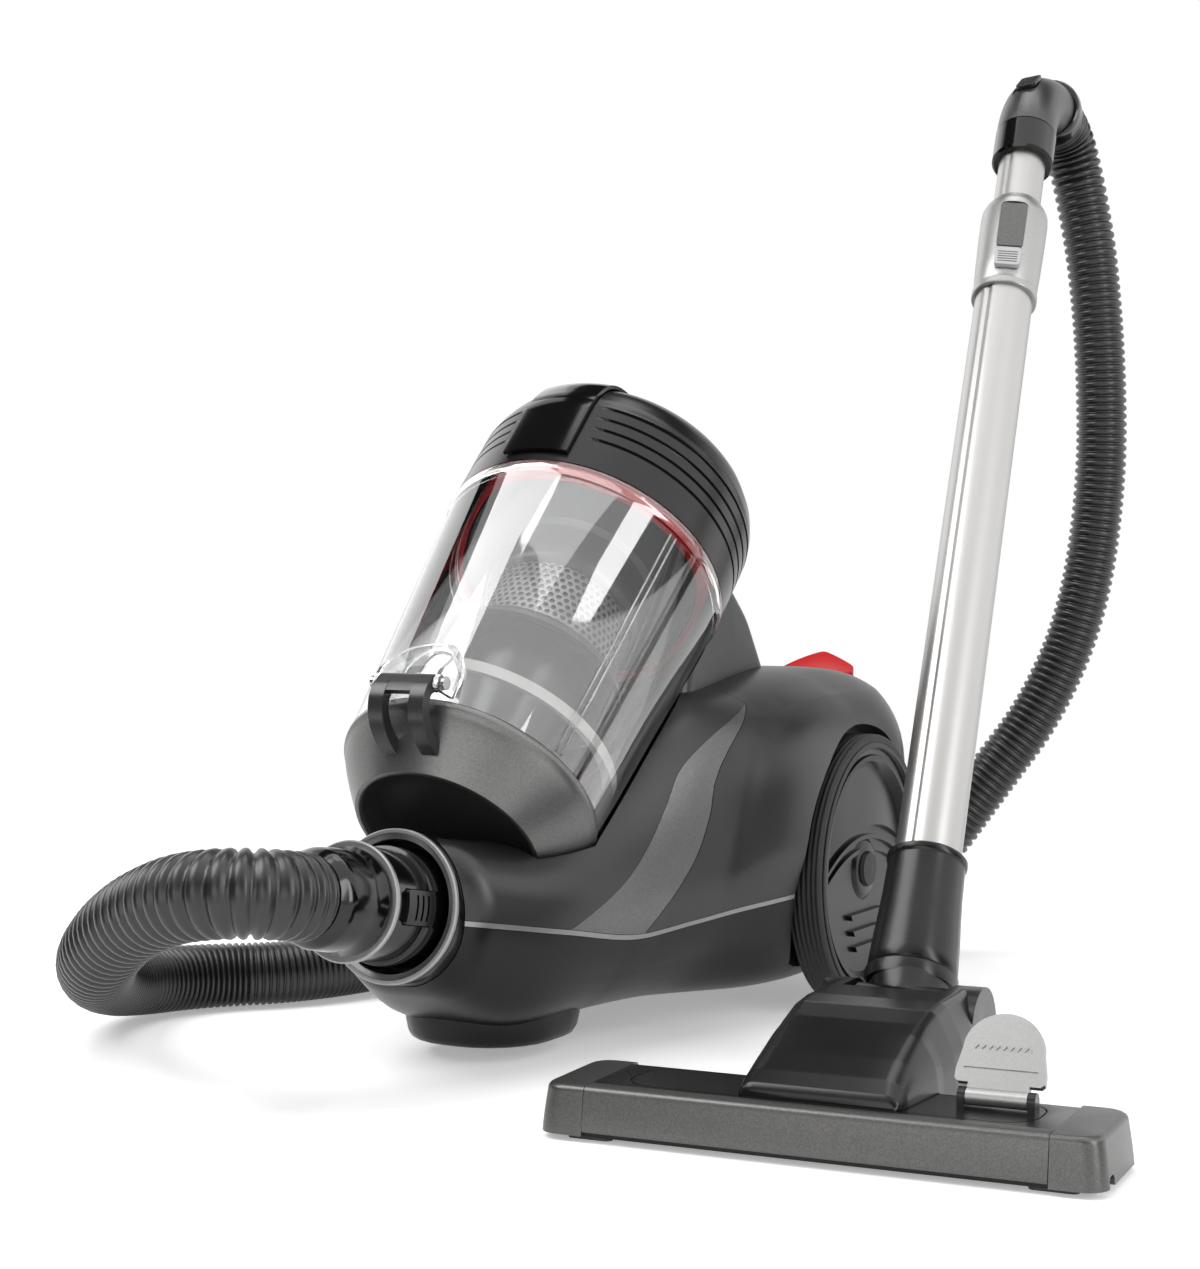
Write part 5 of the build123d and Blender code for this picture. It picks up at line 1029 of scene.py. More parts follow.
# %% [markdown]
# On the front of the wall sits a clear hollow boss with a round top. It carries the pin of the
# bottom door. It is an arch drawn on the front and raised outwards, cut by the cup's own taper
# and trimmed by the outline that it has in the side view.

# %% Clear hinge boss
PIN_Y, PIN_LEVEL = -(FOOT + 11.5), -LENGTH
wall_front = Place(cup.o, cup.x, -cup.y)


def arch_outline(half, centre_level, low_level):
    """Outline of (across, level) points: straight sides under a half circle."""
    turn = np.linspace(0, np.pi, 40)
    arc = np.column_stack([half * np.cos(turn), centre_level + half * np.sin(turn)])
    return np.vstack([arc, [(-half, low_level), (half, low_level)]])


def circle(centre, radius, count):
    """Round outline: centre + radius (cos, sin)."""
    turn = np.linspace(0, 2 * np.pi, count, endpoint=False)
    return np.asarray(centre) + radius * np.column_stack([np.cos(turn), np.sin(turn)])


ear_profile = np.array([
    (-70, -171.5), (-86, -179), (-88.6, -178), (-90.0, -174.5), (-89.4, -167), (-84, -152),
    (-78.2, -137), (-70, -137),
])
wall_core = [(0, -190), (FOOT - 0.85, -190), (wall_radius(-100) + 0.05, -100), (0, -100)]
boss = prism("hinge_boss", wall_front, arch_outline(20.3, -159, -185), 70, 95)
combine(
    boss, "DIFFERENCE",
    prism("inside", wall_front, arch_outline(17.4, -159, -190), 60, 99),
    revolve("wall", cup, wall_core, 240),
    prism("pin_bore", cup_side, circle((PIN_Y, PIN_LEVEL), 2.1, 24), -30, 30),
)
combine(boss, "INTERSECT", prism("ear_side", cup_side, ear_profile, -22, 22))
finish_shading(boss, 30)
soften(boss, 0.4, 2, 50)
paint(boss, "clear_cup")
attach(boss, "dust_cup")
print("boss faces", len(boss.data.polygons))

# %% Red ring inside the rim
ring_outer, ring_inner = RIM - 3.3, RIM - 8
red_ring = revolve(
    "red_ring", cup,
    [(ring_outer, -6.5), (ring_outer, -0.3), (ring_inner, -0.3), (ring_inner, -6.5), (ring_outer, -6.5)],
    128,
)
paint(red_ring, "red_plastic")
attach(red_ring, "dust_cup")
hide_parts("cup_ring")
print("ring faces", len(red_ring.data.polygons))

# %% [markdown]
# Inside stands the dark cylinder of the cyclone with a perforated metal window round its waist.
# The holes could be a pattern in the material, but their edges catch the light, so each is a real
# hole: one small cell with a hole is repeated on a hexagonal grid and wrapped on the cylinder.

# %% Inner cylinder, perforated window and pale band
SHROUD = 46.0
HOLES_ROUND = 60


def hex_window(name, radius, low_level, high_level, pitch, hole):
    """Curved plate of hexagonal cells, each with a round hole. Cell (row, col) is centred at
    u = (col + 1/2 + (row mod 2) / 2) pitch, v = (row + 1/2) pitch sqrt(3) / 2, has four rings of
    six points, and is wrapped on the cylinder by angle = u / radius."""
    row_step = pitch * math.sqrt(3) / 2
    rows, cols, thickness = int((high_level - low_level) / row_step), HOLES_ROUND, 1.2
    row, col = np.divmod(np.arange(rows * cols), cols)
    centre_u = ((col + 0.5 + 0.5 * (row % 2)) * pitch)[:, None, None]
    centre_v = ((row + 0.5) * row_step)[:, None, None]
    turn = np.pi / 6 + np.arange(6) * np.pi / 3
    cell_edge = 0.995 * pitch / math.sqrt(3)
    ring = np.array([cell_edge, hole, hole, cell_edge])[:, None]
    reach = radius - np.array([0, 0, thickness, thickness])[:, None]
    angle, level = (centre_u + ring * np.cos(turn)) / radius, low_level + centre_v + ring * np.sin(turn)
    points = np.stack([reach * np.cos(angle), reach * np.sin(angle), level], -1)
    cell_faces = np.array(grid_faces(4, 6, around=True, along=True))
    faces = (24 * np.arange(rows * cols)[:, None, None] + cell_faces).reshape(-1, 4).tolist()
    return outward(new_object(name, cup(points), faces, 30))


inner_form = [
    (SHROUD - 2, -1), (RIM - 9, -1), (RIM - 9, -3), (SHROUD + 6, -5), (SHROUD + 3, -8),
    (SHROUD + 3, -30), (SHROUD + 2.4, -33.5), (SHROUD + 0.6, -36), (SHROUD - 1.2, -37),
    (SHROUD - 1.2, -80), (SHROUD + 8, -83), (SHROUD + 12, -88), (SHROUD + 12, -91),
    (SHROUD + 10, -91.5), (SHROUD + 6, -86), (SHROUD - 4, -82), (SHROUD - 4, -36),
    (SHROUD - 2, -34), (SHROUD - 2, -1),
]
inner = revolve("inner_cylinder", cup, inner_form, 144, 30)
paint(inner, "cylinder_grey")
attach(inner, "dust_cup")
mesh_plate = hex_window("mesh_window", SHROUD, -79.5, -37.5, 2 * math.pi * SHROUD / HOLES_ROUND, 1.75)
paint(mesh_plate, "silver_trim")
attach(mesh_plate, "dust_cup")
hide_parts("shroud")

band_level = -LENGTH + 24.0
band_outer = wall_radius(band_level) - 2.8
pale = revolve(
    "pale_band", cup,
    [
        (band_outer, band_level), (band_outer + 0.1, band_level + 7), (band_outer - 6.6, band_level + 5),
        (band_outer - 6.6, band_level + 3), (band_outer, band_level),
    ],
    128,
)
paint(pale, "pale_band")
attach(pale, "dust_cup")
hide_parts("baffle_ring")
print("window faces", len(mesh_plate.data.polygons))

# %% [markdown]
# The bottom door is a metallic cone with a deep recess. Two C-shaped arms and a flat web hang it
# on the pin. Cone and arms are two pieces on one body: the cone is turned, the arms are an outline
# between two curves, made twice and joined by the bar round the pin.

# %% Bottom door and its hinge
cone_drop = np.linspace(0, 1, 10)
cone = np.column_stack([FOOT - 0.5 - 19.6 * cone_drop**1.15, -178 - 30.2 * cone_drop])
door_profile = np.vstack([
    [(0, -174.4), (FOOT, -174.4), (FOOT + 0.4, -175.2), (FOOT + 0.3, -177.5)], cone,
    [(52.0, -208.4), (50.5, -207.8), (49.0, -206), (43, -198.4), (36, -195.6), (29, -194.6), (0, -193)],
])
door = revolve("door_cone", cup, door_profile, 144, 40)
paint(door, "door_grey")
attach(door, "cup_door")
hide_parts("cup_door")


def hook_outline():
    """C-shaped arm as (radial, level) points between an outer and an inner curve."""
    outer_edge = [(-90.0, -173.5), (-91.2, -181), (-89.0, -189), (-81.5, -196.5), (-70, -200.5),
        (-59, -201)]
    inner_edge = [(-83.5, -177.5), (-84.6, -182.5), (-82.5, -187.5), (-76.5, -192), (-68, -194),
        (-59, -194)]
    return np.vstack([smooth_curve(outer_edge, 40), smooth_curve(inner_edge, 40)[::-1]])


web = np.array([(-90.2, -173), (-91.1, -180), (-90.6, -184.5), (-87.6, -184.5), (-87.2, -173)])
hinge = prism("hinge_bracket", cup_side, hook_outline(), -17, -8)
combine(
    hinge, "UNION",
    prism("hook", cup_side, hook_outline(), 8, 17),
    prism("bar", cup_side, circle((PIN_Y, PIN_LEVEL), 4.9, 48), -17, 17),
    prism("web", cup_side, web, -16.9, 16.9),
)
combine(
    hinge, "DIFFERENCE",
    prism("pin_bore", cup_side, circle((PIN_Y, PIN_LEVEL), 2.08, 24), -30, 30),
    revolve("cone_room", cup, [(0, -170), (FOOT - 6, -177), (51, -206), (0, -206)], 96),
)
finish_shading(hinge, 30)
soften(hinge, 0.5, 2, 45)
paint(hinge, "hinge_grey")
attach(hinge, "cup_door")
print("door faces", len(door.data.polygons), "hinge faces", len(hinge.data.polygons))

# %% [markdown]
# The cap is one surface r(angle, level): a skirt that turns into the crown on a smooth curve, with
# four narrow grooves pressed in on both sides. Cutting them with tools would leave ragged ends, so
# they are part of the formula and fade out beside the strip. A scoop across the top leaves a grip.

# %% Cap with grooves and scoop
CAP_R, CAP_TOP = 86.5, 94.0
SCOOP_R, SCOOP_Z, SCOOP_Y = 34.0, 98.0, 6.0
GROOVE_DEPTH, GROOVE_WIDTH = 1.7, 2.35
groove_levels = 20.5 + 8.7 * np.arange(4)


def crown_curve(offset, count=46):
    """Smooth (radius, level) curve from the top of the skirt to the axis."""
    points = [
        (CAP_R - 0.2 + offset, 49), (CAP_R - 1.5 + offset, 57),
        (CAP_R - 7 + offset * 0.8, 70 + offset * 0.6),
        (CAP_R - 20 + offset * 0.5, 81 + offset * 0.8), (CAP_R - 44, 90 + offset), (0, CAP_TOP + offset),
    ]
    curve = smooth_curve(points, count)
    curve[-1, 0] = 0.0
    return curve


def cap_surface(name, offset, low, grooved=False, columns=192):
    """Closed turned form. A groove sinks the radius by depth (1 - |2u - 1|^3) over its width u, and
    a mask of the angle keeps it to both sides of the strip."""
    levels = np.linspace(low, 49, 90 if grooved else 8)
    if grooved:
        extra = (groove_levels[:, None] + np.array([-0.05, 0.35, 1.15, 2.0, 2.4])).ravel()
        levels = np.unique(np.round(np.r_[levels, extra], 3))
    curve = crown_curve(offset)
    skirt = np.column_stack([np.full(len(levels), CAP_R + offset), levels])
    profile = np.vstack([skirt, curve[curve[:, 1] > levels[-1] + 0.4]])
    angles = np.linspace(0, 2 * np.pi, columns, endpoint=False)
    r = np.repeat(profile[:, :1], columns, 1)
    if grooved:
        u = (profile[:, 1, None] - groove_levels) / GROOVE_WIDTH
        depth = GROOVE_DEPTH * np.clip(1 - np.abs(2 * u - 1) ** 3, 0, 1).max(1)
        away = np.degrees(np.abs((angles + np.pi / 2 + np.pi) % (2 * np.pi) - np.pi))
        side_mask = np.clip((away - 19) / 3, 0, 1) * np.clip((150 - away) / 4, 0, 1)
        r = r - depth[:, None] * side_mask
    points = np.stack([r * np.cos(angles), r * np.sin(angles), np.repeat(profile[:, 1:], columns, 1)], -1)
    return tube_grid(name, cup(points[:-1]), smooth=28)


def scoop_tool(radius):
    """Cylinder across the cap that hollows out the finger room."""
    return prism("scoop", cup_side, circle((SCOOP_Y, SCOOP_Z), radius, 96), -110, 110)


cap = cap_surface("cap_skirt", 0.0, 0.0, grooved=True)
inside = combine(cap_surface("cap_inside", -3.0, -1.0), "DIFFERENCE", scoop_tool(SCOOP_R + 3))
combine(cap, "DIFFERENCE", inside, scoop_tool(SCOOP_R))
finish_shading(cap, 28)
paint(cap, "satin_black")
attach(cap, "dust_cup")
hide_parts("cup_cap")
print("cap faces", len(cap.data.polygons))

# %% [markdown]
# The glossy strip runs up the front of the cap and over the scoop, where it is the carry handle.
# It is the cap's own surface again, 3 mm further out, cut to a band by a box in the side view.

# %% Glossy strip and carry handle
strip = combine(cap_surface("gloss_strip", 3.0, 6.0), "DIFFERENCE", cap_surface("strip_inside", 1.0, 5.0))
strip_box = np.array([(-110, 0), (70, 0), (70, 200), (-110, 200)])
combine(strip, "INTERSECT", prism("strip_box", cup_side, strip_box, -21, 21))
scoop_turn = np.linspace(np.pi, 2 * np.pi, 60)
handle_arc = np.column_stack([SCOOP_Y + 33.7 * np.cos(scoop_turn), SCOOP_Z + 33.7 * np.sin(scoop_turn)])
handle_bar = prism("bar", cup_side, handle_arc, -16, 16)
bar_box = np.array([(-40, CAP_TOP - 8), (50, CAP_TOP - 8), (50, CAP_TOP + 1), (-40, CAP_TOP + 1)])
combine(handle_bar, "INTERSECT", prism("bar_box", cup_side, bar_box, -17, 17))
combine(strip, "UNION", handle_bar)
finish_shading(strip, 30)
soften(strip, 0.8, 2, 50)
paint(strip, "gloss_black")
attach(strip, "dust_cup")
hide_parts("carry_handle")
print("strip faces", len(strip.data.polygons))

# %% [markdown]
# Each rear wheel is turned from one profile: a ridged tread ring, a dished disc and a hub. The
# upper part of the dish holds a lens-shaped domed panel with two arched ridges under it, and the
# lower part three straight fins. The same form is mirrored for the left wheel.

# %% Rear wheels and small running parts
WHEEL_R, OUT_X, IN_X = 82.9, 132.5, 110.5


def wheel_set(name, side):
    """Disc, domed panel and tread of one wheel, riding on its body."""
    axle = Place((-130, 104.4, 82.9), (0, side, 0), (side, 0, 0))
    rim = WHEEL_R - 5
    dish = OUT_X - 7
    profile = [(7.05, IN_X), (16, IN_X), (16, OUT_X - 12), (rim - 9, OUT_X - 12), (rim - 7, IN_X),
        (rim, IN_X), (rim, OUT_X),
               (rim - 1.0, OUT_X + 0.4), (rim - 3.2, OUT_X + 0.4), (rim - 4.0, OUT_X - 0.6),
               (rim - 4.6, OUT_X - 2.6), (rim - 7.4, OUT_X - 3),
               (rim - 8.2, OUT_X - 1.6), (rim - 11, OUT_X - 1.6), (rim - 12.2, OUT_X - 2.6),
               (rim - 15, dish), (19, dish), (16.6, OUT_X - 5.4),
               (15.6, OUT_X - 5), (7.05, OUT_X - 5), (7.05, IN_X)]
    disc = revolve(name, axle, profile, 160, 28)
    reach = rim - 15.5

    def arch(y_end, y_mid, width):
        """Ridge between two parabolas, the lower one moved down by the width."""
        u = np.linspace(-1, 1, 48)
        top = y_mid - (y_mid - y_end) * u**2
        outline = np.column_stack([reach * 1.05 * u, top])
        return np.vstack([outline, outline[::-1] - np.array((0, width))])

    limit_profile = [(0, dish - 2), (reach, dish - 2), (reach, OUT_X + 4), (0, OUT_X + 4)]
    pieces = []
    for k in range(2):
        fall = 6 + 7.5 * k
        ridge = prism("ridge", axle, arch(6 - fall, 27 - fall, 2.6), dish - 1, dish + 2.4 - 0.4 * k)
        pieces.append(combine(ridge, "INTERSECT", revolve("limit", axle, limit_profile, 128)))
    for k in range(3):
        half = 26 - 3.5 * k
        outline = np.array([(-half, -26.0 - 10 * k), (half, -26.0 - 10 * k), (half - 2.5, -29.4 - 10 * k),
            (2.5 - half, -29.4 - 10 * k)])
        pieces.append(prism("fin", axle, outline, dish - 1, dish + 3))
    hub_ring = revolve("hub_hole", axle, [(0, dish - 3), (16.2, dish - 3), (16.2, OUT_X + 5),
        (0, OUT_X + 5)], 96)
    for piece in pieces:
        combine(piece, "DIFFERENCE", copy_of(hub_ring, "hub_hole"))
    combine(disc, "UNION", *pieces)
    finish_shading(disc, 28)
    paint(disc, "wheel_black")
    # lens panel: part of a large sphere above the arch
    big = (reach**2 + 6.5**2) / (2 * 6.5)
    u = np.linspace(0, 1, 26)
    r = reach * (1 - u)
    lens = np.column_stack([r, dish + 6.5 - (big - np.sqrt(big**2 - r**2))])
    dome_profile = np.vstack([[(0, dish - 0.5), (reach, dish - 0.5)], lens])
    dome = revolve(name + "_panel", axle, dome_profile, 160, 30)
    v = np.linspace(-1, 1, 64)
    lid = np.column_stack([reach * 1.1 * v, 27 - 21 * v**2])
    outline = np.vstack([lid, [(reach * 1.1, 120), (-reach * 1.1, 120)]])
    combine(dome, "INTERSECT", prism("lid", axle, outline, dish - 1, OUT_X + 10))
    combine(dome, "DIFFERENCE", hub_ring)
    finish_shading(dome, 30)
    soften(dome, 0.8, 3, 40)
    paint(dome, "satin_black")
    # tread: a cosine of 3.1 mm pitch across the tyre, with both shoulders drawn in on a parabola
    x = np.linspace(IN_X, OUT_X - 0.5, 67)
    groove = 0.5 * (0.5 + 0.5 * np.cos(2 * np.pi * (x - IN_X) / 3.1))
    shoulder = np.clip(2.2 - np.minimum(x - IN_X, OUT_X - 0.5 - x), 0, None)
    tread = np.column_stack([WHEEL_R - groove - 0.35 * shoulder**2, x])
    tread_profile = np.vstack([[(rim, IN_X)], tread, [(rim, OUT_X - 0.5), (rim, IN_X)]])
    tyre = revolve(name + "_tread", axle, tread_profile, 160, 60)
    paint(tyre, "tyre_rubber")
    for piece in (disc, dome, tyre):
        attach(piece, name)
    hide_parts(name)
    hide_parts(name.replace("wheel", "tyre"))
    return disc


right_wheel = wheel_set("wheel_right", 1)
left_wheel = wheel_set("wheel_left", -1)
print("wheels", len(right_wheel.data.polygons), len(left_wheel.data.polygons))

# %% [markdown]
# The hose inlet is turned on its own axis: the collar in the nose with its silver ring, the
# plugged-in connector with a second silver ring and a spring latch, and the cuff of the hose. They
# are separate rings, each from one closed profile of (radius, station) points, as on the real one.

# %% Hose inlet
COLLAR_R, CONN_R, CUFF_R = 40.4, 31.0, 26.0
collar = revolve(
    "inlet_socket", inlet,
    [(31.3, -30), (COLLAR_R, -30), (COLLAR_R, -3.6), (COLLAR_R - 0.4, -3.3), (34.4, -3.3), (34.0, -8),
        (34.0, -14), (31.3, -14), (31.3, -30)],
    128, 28,
)
paint(collar, "gloss_black")
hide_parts("inlet_collar")
silver = revolve(
    "socket_ring", inlet,
    [(COLLAR_R - 5.4, -3), (COLLAR_R - 0.6, -3), (COLLAR_R, -2.4), (COLLAR_R, -0.7), (COLLAR_R - 0.7, 0),
        (COLLAR_R - 2.2, 0.1), (COLLAR_R - 3.0, -0.6), (COLLAR_R - 5.4, -1.4), (COLLAR_R - 5.4, -3)],
    128, 28,
)
paint(silver, "silver_satin")
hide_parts("inlet_ring")
connector = revolve(
    "hose_plug", inlet,
    [(28, -28), (CONN_R, -28), (CONN_R, 8), (CONN_R - 0.4, 9.2), (CONN_R - 2, 10), (CONN_R - 2, 37),
        (26, 37), (26, 0), (28, -2), (28, -28)],
    128, 28,
)
slot = prism("slot", Place(inlet.o + inlet.x * (CONN_R - 12), inlet.z, inlet.x),
    rounded_box(24, 18.6, 2) + np.array((18, 0)), 0, 30)
combine(connector, "DIFFERENCE", slot)
finish_shading(connector, 28)
paint(connector, "gloss_black")
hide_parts("hose_connector")
print("socket and plug made")

# %% Plug ring, hose cuff and latch
edge_ring = revolve(
    "plug_ring", inlet,
    [(CONN_R - 4.9, 36.8), (CONN_R - 0.8, 36.8), (CONN_R, 37.6), (CONN_R, 39.2), (CONN_R - 0.8, 40),
        (CONN_R - 4.9, 40), (CONN_R - 4.9, 36.8)],
    128, 28,
)
paint(edge_ring, "silver_satin")
cuff = revolve(
    "hose_cuff", inlet,
    [(22, 32), (25.9, 32), (25.9, 40.3), (27.6, 40.3), (28.0, 41.2), (27.6, 43), (CUFF_R + 0.2, 46),
        (CUFF_R, 52), (CUFF_R - 0.6, 66), (CUFF_R - 1.4, 69),
     (CUFF_R - 3.0, 71), (21, 74), (15, 74), (15, 44), (22, 32)],
    128, 40,
)
paint(cuff, "gloss_black")
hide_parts("inlet_cuff")
for piece in (collar, silver, connector, edge_ring, cuff):
    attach(piece, "canister")
latch = prism("latch_tab", Place(inlet.o + inlet.x * (CONN_R - 10), inlet.z, inlet.x),
    rounded_box(23.4, 17.6, 2.2) + np.array((18, 0)), 0, 11)
combine(latch, "INTERSECT", revolve("reach", inlet,
    [(0, -40), (CONN_R + 0.5, -40), (CONN_R + 0.5, 60), (0, 60)], 96))
grooves = [
    prism("groove", Place(inlet.o + inlet.x * (CONN_R - 1.4), inlet.z, inlet.x),
        rounded_box(1.8, 13, 0.6) + np.array((12 + 5 * k, 0)), 0, 6) for k in range(3)
]
combine(latch, "DIFFERENCE", *grooves)
finish_shading(latch, 30)
soften(latch, 0.5, 2, 40)
paint(latch, "satin_black")
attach(latch, "connector_latch")
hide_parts("connector_latch")
print("ring, cuff and latch made")

# %% [markdown]
# The wand: a chromed outer tube with a guide groove pressed along its front, the collar with its
# window and spring button, the thinner inner tube, and the neck that carries the floor head. The
# grooved tube is a ring r(angle) = R - d exp(-(angle / w)^2) carried straight along the axis.

# %% Wand tubes, collar and button
def tube_walls(name, place, outer, inner, low, high, groove_at=None, depth=0.9, width=5.0, columns=128,
    rows=24):
    """Closed pipe of rings r(angle) = R - depth exp(-(angle / width)^2), carried up the outside
    and back down the inside; the groove runs along it at one angle."""
    angles = np.linspace(0, 2 * np.pi, columns, endpoint=False)
    sink = np.zeros(columns)
    if groove_at is not None:
        away = np.degrees((angles - math.radians(groove_at) + np.pi) % (2 * np.pi) - np.pi)
        sink = depth * np.exp(-((away / width) ** 2))
    up = np.linspace(low, high, rows)
    levels = np.r_[up, up[::-1]][:, None]
    r = np.repeat([outer, inner], rows)[:, None] - sink
    points = np.stack([r * np.cos(angles), r * np.sin(angles), levels + 0 * r], -1)
    piece = new_object(name, place(points), grid_faces(2 * rows, columns, around=True, along=True), 40)
    outward(piece)
    finish_shading(piece, 40)
    return piece


outer = tube_walls("outer_wand", wand, 17.5, 16.3, -66, 356.7, groove_at=238, depth=0.9, width=6)
paint(outer, "chrome_tube")
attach(outer, "canister")
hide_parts("outer_tube")
inner_pipe = tube_walls("inner_wand", wand, 14.7, 13.7, 86.7, 474, groove_at=238, depth=0.7, width=7)
paint(inner_pipe, "chrome_tube")
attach(inner_pipe, "handle")
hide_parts("inner_tube")

print("tubes", len(outer.data.polygons), len(inner_pipe.data.polygons))

# %% Collar with its window and button
wand_front = Place(wand.o, wand.z, -wand.y)


def front_prism(name, outline, floor, low_z, high_z):
    """Outline on the wand's front, raised from a floor this far out from the axis."""
    level = Place(wand_front.o + wand_front.z * floor, wand_front.x, wand_front.z)
    return prism(name, level, outline, low_z, high_z)


collar_form = [(17.55, 336.7), (19.5, 336.7), (19.9, 337.3), (19.9, 341.2), (19.4, 341.9), (18.9, 342.2),
    (19.3, 343.2), (20.0, 360),
               (20.6, 385), (20.7, 401), (20.4, 405), (19.2, 408.4), (17.0, 411.8), (16.4, 413.4),
               (15.6, 414), (14.75, 414), (14.75, 357), (17.55, 357), (17.55, 336.7)]
sleeve = revolve("wand_guide", wand, collar_form, 128, 28)
recess = front_prism("recess", rounded_box(55, 17, 3) + (374.5, 0), 18.4, 0, 12)
combine(sleeve, "DIFFERENCE", recess)
finish_shading(sleeve, 28)
paint(sleeve, "silver_satin")
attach(sleeve, "canister")
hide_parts("wand_collar")
window = front_prism("guide_window", rounded_box(36.0, 16.2, 2.6) + (383.4, 0), 17.9, 0, 1.9)
soften(window, 0.4, 2, 40)
paint(window, "metallic_light")
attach(window, "canister")

button = front_prism("guide_button", rounded_box(14, 15.6, 2.4) + (355, 0), 18.7, 0, 3.6)
ribs = [front_prism("rib", rounded_box(0.9, 12, 0.3, 3) + (350.6 + 1.9 * k, 0), 21.4, 0,
    3) for k in range(5)]
combine(button, "DIFFERENCE", *ribs)
finish_shading(button, 30)
soften(button, 0.35, 2, 40)
paint(button, "light_plastic")
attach(button, "collar_button")
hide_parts("collar_button")

neck = revolve(
    "neck_shroud", wand,
    [(17.55, -74), (17.55, -54), (19.6, -52.3), (20.6, -52), (21.3, -52.8), (21.3, -55.4), (20.9, -56.2),
        (20.4, -57), (20.4, -60), (20.8, -75), (21.6, -88),
     (22.5, -101), (23.0, -112), (23.2, -118), (22.8, -119), (19, -119), (18, -94), (17.55, -74)],
    128, 30,
)
paint(neck, "satin_black")
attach(neck, "canister")
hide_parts("neck_sleeve")
print("collar, button and neck made")

# %% [markdown]
# The handle turns with the hose's end. Its grip is a bent pipe: a ring carried up the wand's axis,
# round an arc and a little along the hose's direction. A swept curve object would keep one
# section, but the real grip swells on the outside of the bend, so its rings are worked out. The
# two halves are the same form parted at its plane, and a slider runs in a flat recess.

# %% Handle: cuff and the grip's centre line
cuff_band = revolve(
    "handle_band", wand,
    [(14.7, 452), (18.0, 452), (18.4, 452.4), (19.4, 453.6), (19.4, 476.8), (18.6, 478), (15, 478),
        (13.7, 474.3), (14.7, 474.3), (14.7, 452)],
    128, 30,
)
paint(cuff_band, "gloss_black")
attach(cuff_band, "handle")
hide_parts("handle_cuff")

bend_side = unit(np.cross(wand.z, grip_axis))
inward = unit(np.cross(bend_side, wand.z))
bend_centre = wand.o + wand.z * elbow_start + inward * elbow_bend


def grip_line(s):
    """Points and directions of the grip's axis at lengths s (mm) from the cuff: a straight, an arc
    with point = centre + bend (-cos a inward + sin a axis), and a straight along the hose's end."""
    straight, arc = elbow_start - cuff_top, elbow_bend * elbow_turn
    before, beyond = np.minimum(s - straight, 0), np.maximum(s - straight - arc, 0)
    a = np.clip(s - straight, 0, arc)[:, None] / elbow_bend
    out = -inward * np.cos(a) + wand.z * np.sin(a)
    ahead = wand.z * np.cos(a) + inward * np.sin(a)
    return bend_centre + out * elbow_bend + ahead * (before + beyond)[:, None], ahead


grip_length = (elbow_start - cuff_top) + elbow_bend * elbow_turn + 0.7
print("grip length", round(grip_length, 1))

# %% Bent grip in two halves
columns, stations_along = 96, 64
angles = np.linspace(0, 2 * np.pi, columns, endpoint=False)
s = np.linspace(0, grip_length, stations_along)
at, ahead = grip_line(s)
outer_dir = np.cross(ahead, bend_side)
outer_dir /= np.linalg.norm(outer_dir, axis=1)[:, None]
u = s / grip_length
r_side = (19.0 - 0.5 * np.sin(np.pi * u))[:, None]
r_out = (19.0 + 0.7 * np.sin(np.pi * np.minimum(1.0, u * 1.2)))[:, None]
sunk = np.where(s > grip_length - 9, 1.5, 0.0)[:, None]
reach = np.where(np.sin(angles) > 0, r_out, 19.0) - sunk


def grip_rings(side_reach, outward_reach):
    """Ring = axis point + side_reach cos t along the side + outward_reach sin t outwards."""
    side_part = (side_reach * np.cos(angles))[..., None] * bend_side
    out_part = (outward_reach * np.sin(angles))[..., None] * outer_dir[:, None]
    return (at[:, None] + side_part + out_part) * MM


bore = np.full((stations_along, 1), 15.0)
rings = np.concatenate([grip_rings(r_side - sunk, reach), grip_rings(bore, bore)[::-1]])
grip = new_object("bent_grip", rings, grid_faces(len(rings), columns, around=True, along=True), 40)
outward(grip)
turn_at = math.radians(28)
slider_out = unit(-inward * math.cos(turn_at) + wand.z * math.sin(turn_at))
slider_along = unit(np.cross(slider_out, bend_side))
if np.dot(slider_along, wand.z) < 0:
    slider_along = -slider_along
pad = Place(bend_centre + slider_out * (elbow_bend + 16.9), slider_along, slider_out)
combine(grip, "DIFFERENCE", prism("pad_recess", pad, rounded_box(32, 16, 4), 0, 10))
finish_shading(grip, 35)
parting = Place(elbow_corner, wand.z, bend_side)
half_box = rounded_box(400, 400, 1, 1)
right_half = combine(copy_of(grip, "grip_half_right"), "INTERSECT",
    prism("half", parting, half_box, 0.04, 60))
left_half = combine(grip, "INTERSECT", prism("half", parting, half_box, -60, -0.04))
left_half.name = "grip_half_left"
for piece, node in ((right_half, "grip_right"), (left_half, "grip_left")):
    finish_shading(piece, 35)
    paint(piece, "metallic_grey")
    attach(piece, "handle")
    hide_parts(node)
print("grip halves", len(right_half.data.polygons), len(left_half.data.polygons))

